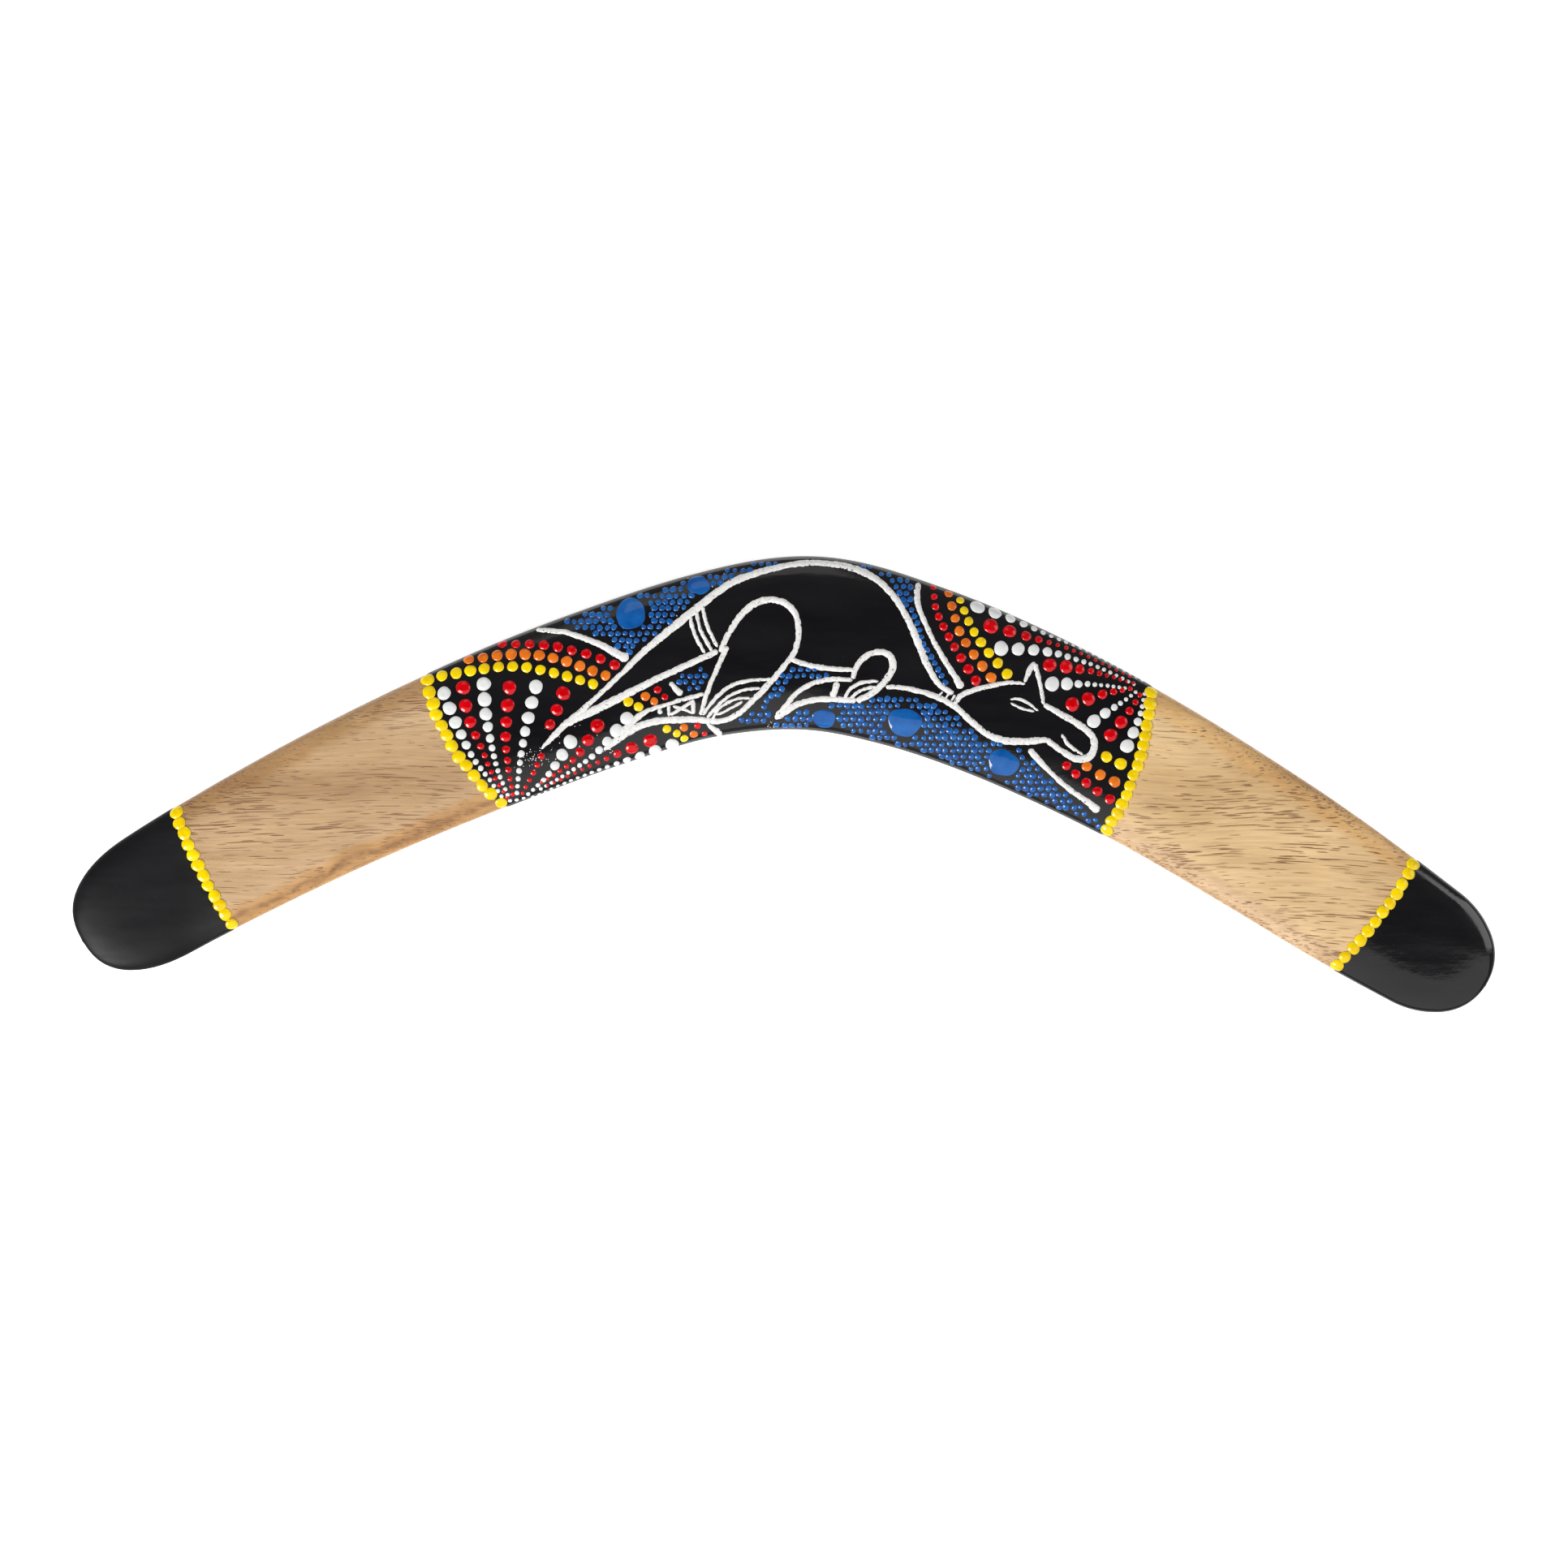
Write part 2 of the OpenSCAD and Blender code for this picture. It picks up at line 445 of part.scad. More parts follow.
leg_lines = [
    // thigh, down into the sole of the foot
    [[-18, 37, 1.4], [-15, 43, 1.7], [-11, 48.5, 1.8], [-6, 51.4, 1.9], [-1.5, 51.4, 1.9], [2.3, 49, 1.8],
     [4, 44.5, 1.7], [3.5, 38.5, 1.6], [1.4, 34.8, 1.6], [-3.3, 29, 1.7], [-7.8, 24.3, 1.7], [-13.2, 19.4, 1.6],
     [-18, 17.6, 1.5], [-23.6, 18, 1.8], [-29.5, 18, 2], [-35.1, 17.6, 2], [-41.3, 15.9, 2], [-48, 11.4, 1.8],
     [-50.5, 9.5, 0.9]],
    // shin
    [[-15.8, 38.6, 1.5], [-18.6, 32.7, 1.4], [-21.4, 26, 1.4], [-23.4, 19.3, 1.2]],
    // sinews between the shin and the sole
    [[-22.8, 19.3, 0.9], [-18.9, 24.3, 1.1], [-14.4, 27.7, 1.1], [-8.8, 29.1, 1], [-3.3, 29.3, 0.9]],
    [[-21.6, 18.6, 0.8], [-16.6, 23.8, 0.9], [-11.6, 26.3, 0.9], [-6.6, 26.8, 0.8]],
    [[-20.2, 18, 0.8], [-17.8, 21.5, 0.9], [-13.3, 23.8, 0.8], [-9.4, 24, 0.7]],
    [[-18.9, 19.3, 0.6], [-14.4, 21.5, 0.8], [-11.6, 23.2, 0.6]],
    // instep and toes
    [[-46.5, 13.6, 1.2], [-41.9, 17.9, 1.9], [-39.1, 20, 1.6], [-36.8, 21.1, 1.1], [-33.5, 22.1, 1.1],
     [-29.6, 23.3, 1.1], [-24, 24.8, 1.2], [-22.4, 25.4, 1.1]],
    [[-34.8, 21.2, 1.1], [-34.7, 19.6, 1.8]],
    [[-32.3, 22.2, 1], [-32.3, 19, 1.1]],
    [[-31.8, 19.3, 0.8], [-28.8, 21.2, 1], [-25.6, 23.2, 0.9]],
    [[-31.2, 21.8, 0.8], [-28.4, 21, 0.9], [-25.3, 19.8, 0.9]],
    [[-25.6, 23.8, 1.2], [-25.3, 19.6, 1.2]],
];
tail_bands = [
    [[-26.3, 47, 0.9], [-25.2, 42.5, 1.1], [-22.2, 36.6, 0.9]],
    [[-24.6, 48.4, 0.9], [-23.3, 43, 1.1], [-20.2, 37.3, 0.9]],
    [[-22.8, 49.8, 0.9], [-21.4, 44, 1.1], [-18.6, 38.4, 0.9]],
];

// ---------- areas of small blue dots, in plan ----------

// Between the tail's back line and the outer edge
upper_left_area = [[-66, 44.5], [-59, 44], [-51, 41], [-43.5, 36.8], [-36, 41.8], [-28, 48.6], [-19, 55.6],
    [-10, 59.8], [0, 62.3], [8, 63.2], [0, 63.4], [-12, 61.2], [-30, 56.2], [-50, 50]];
// Between the rump and the divider of the right fan
upper_right_area = [[16, 62.6], [25, 59.8], [31, 54.8], [34, 50], [36, 50.5], [36.2, 56.8],
    [28, 59.9], [20, 62.2]];
upper_right_row = [[35.8, 48.8], [37.4, 44.8], [38.9, 40], [41.2, 35.8], [43.2, 32], [45.2, 28.4]];
// Under the tail
under_tail_area = [[-29.5, 30], [-21.4, 34], [-21.3, 31], [-23.5, 26.6], [-26, 25], [-29.5, 28]];
// Between the thigh and the forearm
thigh_area = [[-0.5, 31], [4, 33], [12, 31.8], [14, 30.8], [12.5, 29.9], [7, 29.6], [2.5, 28.6], [-0.8, 25.4],
    [-3.6, 22], [-4.6, 19], [-6, 16.5], [-17, 16], [-12, 18.4], [-6, 22.4]];
// Between the forearm and throat lines and the inner edge
lower_area = [[-5, 16.2], [-1.5, 17], [4, 20.8], [13, 22.4], [21, 22], [28, 25], [35, 25.2], [43.5, 21.8],
    [51, 16.5], [56, 12.5], [66, 10], [73, 3], [82, -5.5], [86.5, -9.5], [91.5, -12.2], [91, -13.8],
    [85.4, -10.8], [74, -5.4], [62.6, -0.4], [51.2, 4.4], [39.8, 8.5], [28.4, 12], [17, 14.9], [4, 16.4]];

// ---------- sub-parts ----------

// The carved piece of wood, its back cut flat
module wood_blank() {
    color([0.82, 0.68, 0.5])
    difference() {
        blank_solid();
        translate([-250, -150, -20]) cube([500, 300, 20]);
    }
}

module left_tip_coat() { color([0.03, 0.03, 0.03]) coat(left_tip_rim, left_end, 14, true); }
module right_tip_coat() { color([0.03, 0.03, 0.03]) coat(right_tip_rim, right_end, 14, true, true); }
module centre_coat() { color([0.03, 0.03, 0.03]) coat(left_panel_rim, right_panel_rim, 34, false, true); }

yellow = [0.94, 0.84, 0];
orange = [0.92, 0.47, 0.1];
red = [0.86, 0, 0.1];
blue = [0.02, 0.32, 0.72];
white = [0.93, 0.93, 0.92];

module left_tip_border() { color(yellow) border(left_tip_rim, 12); }
module left_panel_border() { color(yellow) border(left_panel_rim, 13); }
module right_panel_border() { color(yellow) border(right_panel_rim, 15); }
module right_tip_border() { color(yellow) border(right_tip_rim, 12); }

module left_fan_white_rays() { color(white) rays(left_white_rays); }
module left_fan_red_rays() {
    color(red) {
        rays(left_red_rays);
        dot_row(left_crossed_ray, even_sizes(3, 4, 3.2));
        dot_row(left_crossed_end, even_sizes(6, 1.9, fan_dot_min));
    }
}
module left_fan_yellow_arc() { color(yellow) dot_row(left_yellow_curve, even_sizes(12, 3.3, 3)); }
module left_fan_orange_arc() { color(orange) dot_row(left_orange_curve, even_sizes(11, 3.2, 3)); }
module left_fan_red_arc() { color(red) dot_row(left_red_curve, even_sizes(9, 2.6, 3.1)); }

module right_fan_white_rays() { color(white) rays(right_white_rays); }
module right_fan_red_rays() { color(red) rays(right_red_rays); }
module right_fan_yellow_arc() { color(yellow) dot_row(right_yellow_curve, even_sizes(8, 2.3, 3.3)); }
module right_fan_orange_arc() { color(orange) dot_row(right_orange_curve, even_sizes(8, 2.5, 3.1)); }
module right_fan_red_arc() { color(red) dot_row(right_red_curve, even_sizes(10, 1.8, 3.1)); }

module accents(list) {
    for (p = list) dot([p[0], p[1]], p[2] * accent_dot);
}
module accent_yellow_dots() { color(yellow) accents(accent_yellow); }
module accent_orange_dots() { color(orange) accents(accent_orange); }
module accent_red_dots() { color(red) accents(accent_red); }

module divider_lines() { color(white) for (p = dividers) brush_line(p); }
module kangaroo_body_lines() { color(white) for (p = body_lines) brush_line(p); }
module kangaroo_head_lines() { color(white) for (p = head_lines) brush_line(p); }
module kangaroo_arm_lines() { color(white) for (p = arm_lines) brush_line(p); }
module kangaroo_leg_lines() { color(white) for (p = leg_lines) brush_line(p); }
module kangaroo_tail_bands() { color(white) for (p = tail_bands) brush_line(p); }

module large_blue_dots() { color(blue) for (p = large_blue) dot([p[0], p[1]], p[2]); }
module upper_blue_stipple() {
    color(blue) {
        stipple(upper_left_area, 11);
        stipple(upper_right_area, 12);
        dot_row(upper_right_row, even_sizes(12, 1.4, 1.5));
    }
}
module middle_blue_stipple() {
    color(blue) {
        stipple(under_tail_area, 21);
        stipple(thigh_area, 22);
    }
}
module lower_blue_stipple() { color(blue) stipple(lower_area, 31); }

wood_blank();
left_tip_coat();
centre_coat();
right_tip_coat();
left_tip_border();
left_panel_border();
right_panel_border();
right_tip_border();
left_fan_white_rays();
left_fan_red_rays();
left_fan_yellow_arc();
left_fan_orange_arc();
left_fan_red_arc();
right_fan_white_rays();
right_fan_red_rays();
right_fan_yellow_arc();
right_fan_orange_arc();
right_fan_red_arc();
accent_yellow_dots();
accent_orange_dots();
accent_red_dots();
divider_lines();
kangaroo_body_lines();
kangaroo_head_lines();
kangaroo_arm_lines();
kangaroo_leg_lines();
kangaroo_tail_bands();
large_blue_dots();
upper_blue_stipple();
middle_blue_stipple();
lower_blue_stipple();
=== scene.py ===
"""Painted wooden boomerang lying on its flat back on a pale table, seen from straight above."""
import json
import math

import bmesh
import bpy
import numpy as np
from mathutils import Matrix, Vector
from mathutils.bvhtree import BVHTree


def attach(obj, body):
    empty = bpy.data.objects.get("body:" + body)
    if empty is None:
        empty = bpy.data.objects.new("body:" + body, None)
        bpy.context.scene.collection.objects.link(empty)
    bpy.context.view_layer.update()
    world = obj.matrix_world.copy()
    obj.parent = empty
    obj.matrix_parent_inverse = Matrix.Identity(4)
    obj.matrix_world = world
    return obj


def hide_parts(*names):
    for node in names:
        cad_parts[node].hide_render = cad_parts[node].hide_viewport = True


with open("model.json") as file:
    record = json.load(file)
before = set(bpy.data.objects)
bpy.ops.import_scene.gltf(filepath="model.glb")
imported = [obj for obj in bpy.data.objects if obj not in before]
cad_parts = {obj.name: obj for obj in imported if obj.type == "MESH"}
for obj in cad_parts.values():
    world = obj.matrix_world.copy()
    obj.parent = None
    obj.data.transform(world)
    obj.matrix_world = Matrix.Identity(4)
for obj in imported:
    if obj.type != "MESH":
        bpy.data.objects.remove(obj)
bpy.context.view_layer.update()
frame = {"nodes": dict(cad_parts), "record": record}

MM = 0.001


# ---------- camera ----------

VIEW_WIDTH = 440 * MM      # width that the square picture takes in at the outline's height
OUTLINE_HEIGHT = 5 * MM    # height of the edge that is seen as the outline from above
LENS = 200                 # focal length in millimetres: a long lens, far above the table
SENSOR = 36                # width of the sensor in millimetres
FAR_CLIP = 20


def make_camera():
    data = bpy.data.cameras.new("camera")
    data.lens = LENS
    data.sensor_width = SENSOR
    data.clip_end = FAR_CLIP
    camera = bpy.data.objects.new("camera", data)
    camera.location = (0, 0, VIEW_WIDTH * LENS / SENSOR + OUTLINE_HEIGHT)
    bpy.context.scene.collection.objects.link(camera)
    bpy.context.scene.camera = camera


make_camera()


# ---------- surface of the blank, in millimetres, as in the CAD source ----------

ELBOW_THICK, ARM_THICK, TIP_THICK = 9.5, 8, 5.5
# Height of the rounded edge's widest line, as a share of the thickness
NOSE_SHARE = 0.5
# How far the back of each tip is carved up off the table, and where that starts
TIP_LIFT, LIFT_START = 0.9, 135
# Sharpness of the two bevels, and of the small rounding under the edge
OUTER_BEVEL, INNER_BEVEL, UNDER_ROUND = 4.5, 3.6, 14
# Ends of the spine, how far back from them the outline is rounded, and the power of that curve
LEFT_END, RIGHT_END = -197, 197
LEFT_ROUND, RIGHT_ROUND = 22, 17
LEFT_POWER, RIGHT_POWER = 2.4, 2.1
# Length over which the thickness runs out at a tip
END_TAPER = 22
# Depth that the blank is let into the table plane before the back is cut flat
BACK_CUT = 0.05
# Thickness of the black coats, and their lap under the edge in degrees round the section
COAT = 0.2
UNDER_LAP = 22

# Spine from the left tip over the elbow to the right tip: [x, y]
SPINE = [(-196, -43.5), (-165, -25), (-125, -4), (-85, 14), (-50, 27.5), (-20, 36.5), (8, 39.5),
         (35, 33.5), (65, 22), (100, 4.5), (135, -16.5), (165, -36), (196, -56)]
# Half of the width, square to the spine: [x, half width]
GIRTH = [(-190, 17.75), (-150, 19.5), (-80, 21.75), (-30, 22.5), (8, 24.25),
         (40, 23.25), (100, 21.5), (155, 20), (190, 17)]
# Thickness along the spine: [x, thickness]
THICKNESS = [(-197, TIP_THICK - 1), (-160, TIP_THICK + 1), (-90, ARM_THICK), (8, ELBOW_THICK),
             (90, ARM_THICK), (160, TIP_THICK + 1), (197, TIP_THICK - 1)]
# Rims of the coats: x on the spine's scale at the outer edge, the middle and the inner edge
LEFT_TIP_RIM = (-162, -163.5, -163.5)
LEFT_PANEL_RIM = (-92, -93, -86.5)
RIGHT_PANEL_RIM = (93, 99, 100)
RIGHT_TIP_RIM = (167, 167, 164.5)


def smooth(knots, x):
    """Cubic curve through the knots, with slopes from their neighbours."""
    kx, ky = np.array(knots, float).T
    slope = np.gradient(ky)
    slope[1:-1] = (ky[2:] - ky[:-2]) / (kx[2:] - kx[:-2])
    slope[0] = (ky[1] - ky[0]) / (kx[1] - kx[0])
    slope[-1] = (ky[-1] - ky[-2]) / (kx[-1] - kx[-2])
    i = np.clip(np.searchsorted(kx, x) - 1, 0, len(kx) - 2)
    h = kx[i + 1] - kx[i]
    t = (x - kx[i]) / h
    return ((2 * t**3 - 3 * t**2 + 1) * ky[i] + (t**3 - 2 * t**2 + t) * h * slope[i]
            + (3 * t**2 - 2 * t**3) * ky[i + 1] + (t**3 - t**2) * h * slope[i + 1])


def fade(distance, reach, power, root):
    """Share of the full size that is left at a distance from a rounded end."""
    inward = 1 - np.clip(distance / reach, 0, 1)
    return np.maximum(0, 1 - inward**power) ** (1 / root)


def girth(x):
    """Half of the width at x, before the tips are rounded."""
    return smooth(GIRTH, np.clip(x, GIRTH[0][0], GIRTH[-1][0]))


def half_width(x):
    return (girth(x)
            * fade(x - LEFT_END, LEFT_ROUND, LEFT_POWER, LEFT_POWER)
            * fade(RIGHT_END - x, RIGHT_ROUND, RIGHT_POWER, RIGHT_POWER))


def end_height(x, power):
    return fade(x - LEFT_END, END_TAPER, power, 2) * fade(RIGHT_END - x, END_TAPER, power, 2)


def lift(x):
    t = np.clip((np.abs(x) - LIFT_START) / (RIGHT_END - LIFT_START), 0, 1)
    return TIP_LIFT * t * t * (3 - 2 * t)


def spine_normal(x):
    slope = (smooth(SPINE, x + 0.05) - smooth(SPINE, x - 0.05)) / 0.1
    size = np.sqrt(1 + slope**2)
    return -slope / size, 1 / size


def skin(x, angle, rise=0.0):
    """Points round the section at x: angle 0 outer edge, 90 top, 180 inner edge, 270 back."""
    x, angle, rise = np.broadcast_arrays(np.asarray(x, float), np.radians(angle), rise)
    u = np.cos(angle)
    thick = smooth(THICKNESS, x)
    nose = NOSE_SHARE * thick
    bevel = np.where(u > 0, OUTER_BEVEL, INNER_BEVEL)
    over = np.sqrt(np.maximum(0, 1 - np.abs(u) ** bevel))
    under = np.sqrt(np.maximum(0, 1 - np.abs(u) ** UNDER_ROUND))
    top = lift(x) + nose + (thick - nose) * end_height(x, 4) * over
    back = lift(x) + nose * (1 - end_height(x, UNDER_ROUND) * under)
    nx, ny = spine_normal(x)
    w = (half_width(x) + rise) * u
    z = np.where(np.sin(angle) >= 0, top, back) - BACK_CUT + rise * np.sin(angle)
    return np.stack([x + nx * w, smooth(SPINE, x) + ny * w, z], -1)


def rim_x(rim, u):
    """x of a coat's rim: u is 1 at the outer edge, 0 in the middle and -1 at the inner edge."""
    return rim[1] + (rim[0] - rim[2]) / 2 * u + ((rim[0] + rim[2]) / 2 - rim[1]) * u * u


# ---------- meshes ----------

ALONG, AT_TIP = 420, 40      # rings of the blank between the tips' tapers, and in each taper
SAME_PLACE = 0.001 * MM      # points closer than this are one point


def new_piece(name, points, faces, material, replaced, across=None):
    """A piece from points in millimetres; it rides on the one body and stands for its CAD nodes.
    across is a number for each point, from -1 to 1 over the width, which the material may read."""
    mesh = bpy.data.meshes.new(name)
    mesh.from_pydata([tuple(p) for p in np.asarray(points) * MM], [], faces)
    if across is not None:
        values = np.asarray(across, float)
        mesh.attributes.new("across", "FLOAT", "POINT").data.foreach_set("value", values)
    mesh.polygons.foreach_set("use_smooth", [True] * len(mesh.polygons))
    mesh.materials.append(material)
    piece = bpy.data.objects.new(name, mesh)
    bpy.context.scene.collection.objects.link(piece)
    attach(piece, "root")
    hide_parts(*replaced)
    return piece


def quads(rows, columns, closed=False, start=0, flip=False):
    """Faces of a grid of points; closed joins the last column to the first."""
    faces = []
    for i in range(rows - 1):
        for j in range(columns if closed else columns - 1):
            a = start + i * columns + j
            b = start + i * columns + (j + 1) % columns
            face = (a, a + columns, b + columns, b)
            faces.append(face[::-1] if flip else face)
    return faces


def stations(count, tip_count):
    """x of the rings: close together at the tips, even along the arms."""
    ease = 1 - np.cos(np.radians(90 * np.arange(1, tip_count + 1) / tip_count))
    left = LEFT_END + END_TAPER * ease
    right = RIGHT_END - END_TAPER * ease[::-1]
    return np.concatenate([left, np.linspace(left[-1], right[0], count + 2)[1:-1], right])


def blank_mesh(rise, ring):
    """The whole blank, or its skin moved out by rise: rings along X closed by a point at each tip.
    ring is the number of points round the section."""
    xs = stations(ALONG, AT_TIP)
    angles = 360 * np.arange(ring) / ring
    grid = skin(xs[:, None], angles[None, :], rise)
    tips = [skin(LEFT_END, 90) - (rise, 0, 0), skin(RIGHT_END, 90) + (rise, 0, 0)]
    points = np.concatenate([grid.reshape(-1, 3), tips])
    if rise == 0:
        points[:, 2] = np.maximum(points[:, 2], 0)
    faces = quads(len(xs), ring, closed=True, flip=True)
    left_tip, right_tip = len(xs) * ring, len(xs) * ring + 1
    last = (len(xs) - 1) * ring
    for j in range(ring):
        k = (j + 1) % ring
        faces.append((left_tip, k, j))
        faces.append((right_tip, last + j, last + k))
    return points, faces


def joined(parts):
    """One array of points and one list of faces from several (points, faces)."""
    faces, count = [], 0
    for points, own_faces in parts:
        faces += [tuple(i + count for i in face) for face in own_faces]
        count += len(points)
    return np.concatenate([points for points, _ in parts]), faces


def tidy(piece):
    """Joins points that meet at a tip and turns all faces outwards."""
    bm = bmesh.new()
    bm.from_mesh(piece.data)
    bmesh.ops.remove_doubles(bm, verts=bm.verts, dist=SAME_PLACE)
    bmesh.ops.recalc_face_normals(bm, faces=bm.faces)
    bm.to_mesh(piece.data)
    bm.free()


def painted_surface():
    """Search tree of the surface that dots and lines are laid on."""
    points, faces = blank_mesh(COAT, 384)
    return BVHTree.FromPolygons([tuple(p) for p in points], faces)


# ---------- materials ----------

class Nodes:
    """A material's node tree, with short calls for the nodes used here."""

    def __init__(self, name):
        self.material = bpy.data.materials.new(name)
        self.material.use_nodes = True
        self.tree = self.material.node_tree
        self.shader = self.tree.nodes["Principled BSDF"]
        self.place = self.add("ShaderNodeTexCoord").outputs["Object"]

    def add(self, kind, **settings):
        node = self.tree.nodes.new(kind)
        for key, value in settings.items():
            setattr(node, key, value)
        return node

    def link(self, source, target):
        self.tree.links.new(source, target)

    def stretched(self, scale, source=None):
        """Object coordinates multiplied axis by axis: scale is in cycles per metre."""
        node = self.add("ShaderNodeVectorMath", operation="MULTIPLY")
        self.link(source or self.place, node.inputs[0])
        node.inputs[1].default_value = scale
        return node.outputs[0]

    def noise(self, scale, detail=2.0, rough=0.5, source=None):
        node = self.add("ShaderNodeTexNoise")
        self.link(self.stretched(scale, source), node.inputs["Vector"])
        node.inputs["Scale"].default_value = 1
        node.inputs["Detail"].default_value = detail
        node.inputs["Roughness"].default_value = rough
        return node.outputs["Fac"]

    def cells(self, scale, source=None):
        node = self.add("ShaderNodeTexVoronoi")
        self.link(self.stretched(scale, source), node.inputs["Vector"])
        node.inputs["Scale"].default_value = 1
        return node.outputs["Distance"]

    def remap(self, value, low, high, to_low=0.0, to_high=1.0):
        node = self.add("ShaderNodeMapRange")
        node.interpolation_type = "SMOOTHSTEP"
        self.link(value, node.inputs["Value"])
        limits = {"From Min": low, "From Max": high, "To Min": to_low, "To Max": to_high}
        for key, number in limits.items():
            node.inputs[key].default_value = number
        return node.outputs["Result"]

    def math(self, operation, a, b):
        node = self.add("ShaderNodeMath", operation=operation)
        for socket, value in zip(node.inputs, (a, b)):
            if isinstance(value, (int, float)):
                socket.default_value = value
            else:
                self.link(value, socket)
        return node.outputs[0]

    def mix(self, factor, a, b, blend="MIX"):
        node = self.add("ShaderNodeMix", data_type="RGBA", blend_type=blend)
        sockets = (node.inputs["Factor"], node.inputs[6], node.inputs[7])
        for socket, value in zip(sockets, (factor, a, b)):
            if isinstance(value, (int, float)):
                socket.default_value = value
            elif isinstance(value, tuple):
                socket.default_value = (*value, 1)
            else:
                self.link(value, socket)
        return node.outputs[2]

    def ramp(self, value, stops):
        node = self.add("ShaderNodeValToRGB")
        self.link(value, node.inputs["Fac"])
        points = node.color_ramp.elements
        while len(points) < len(stops):
            points.new(0.5)
        for point, (position, colour) in zip(points, stops):
            point.position = position
            point.color = (*colour, 1)
        return node.outputs["Color"]

    def bump(self, height, distance, strength=1.0, normal=None):
        node = self.add("ShaderNodeBump")
        node.inputs["Distance"].default_value = distance
        node.inputs["Strength"].default_value = strength
        self.link(height, node.inputs["Height"])
        if normal:
            self.link(normal, node.inputs["Normal"])
        return node.outputs["Normal"]

    def finish(self, colour=None, roughness=None, normal=None, **constants):
        for socket, value in (("Base Color", colour), ("Roughness", roughness), ("Normal", normal)):
            if value is None:
                continue
            if isinstance(value, (int, float)):
                self.shader.inputs[socket].default_value = value
            else:
                self.link(value, self.shader.inputs[socket])
        for key, value in constants.items():
            self.shader.inputs[key.replace("_", " ")].default_value = value
        return self.material


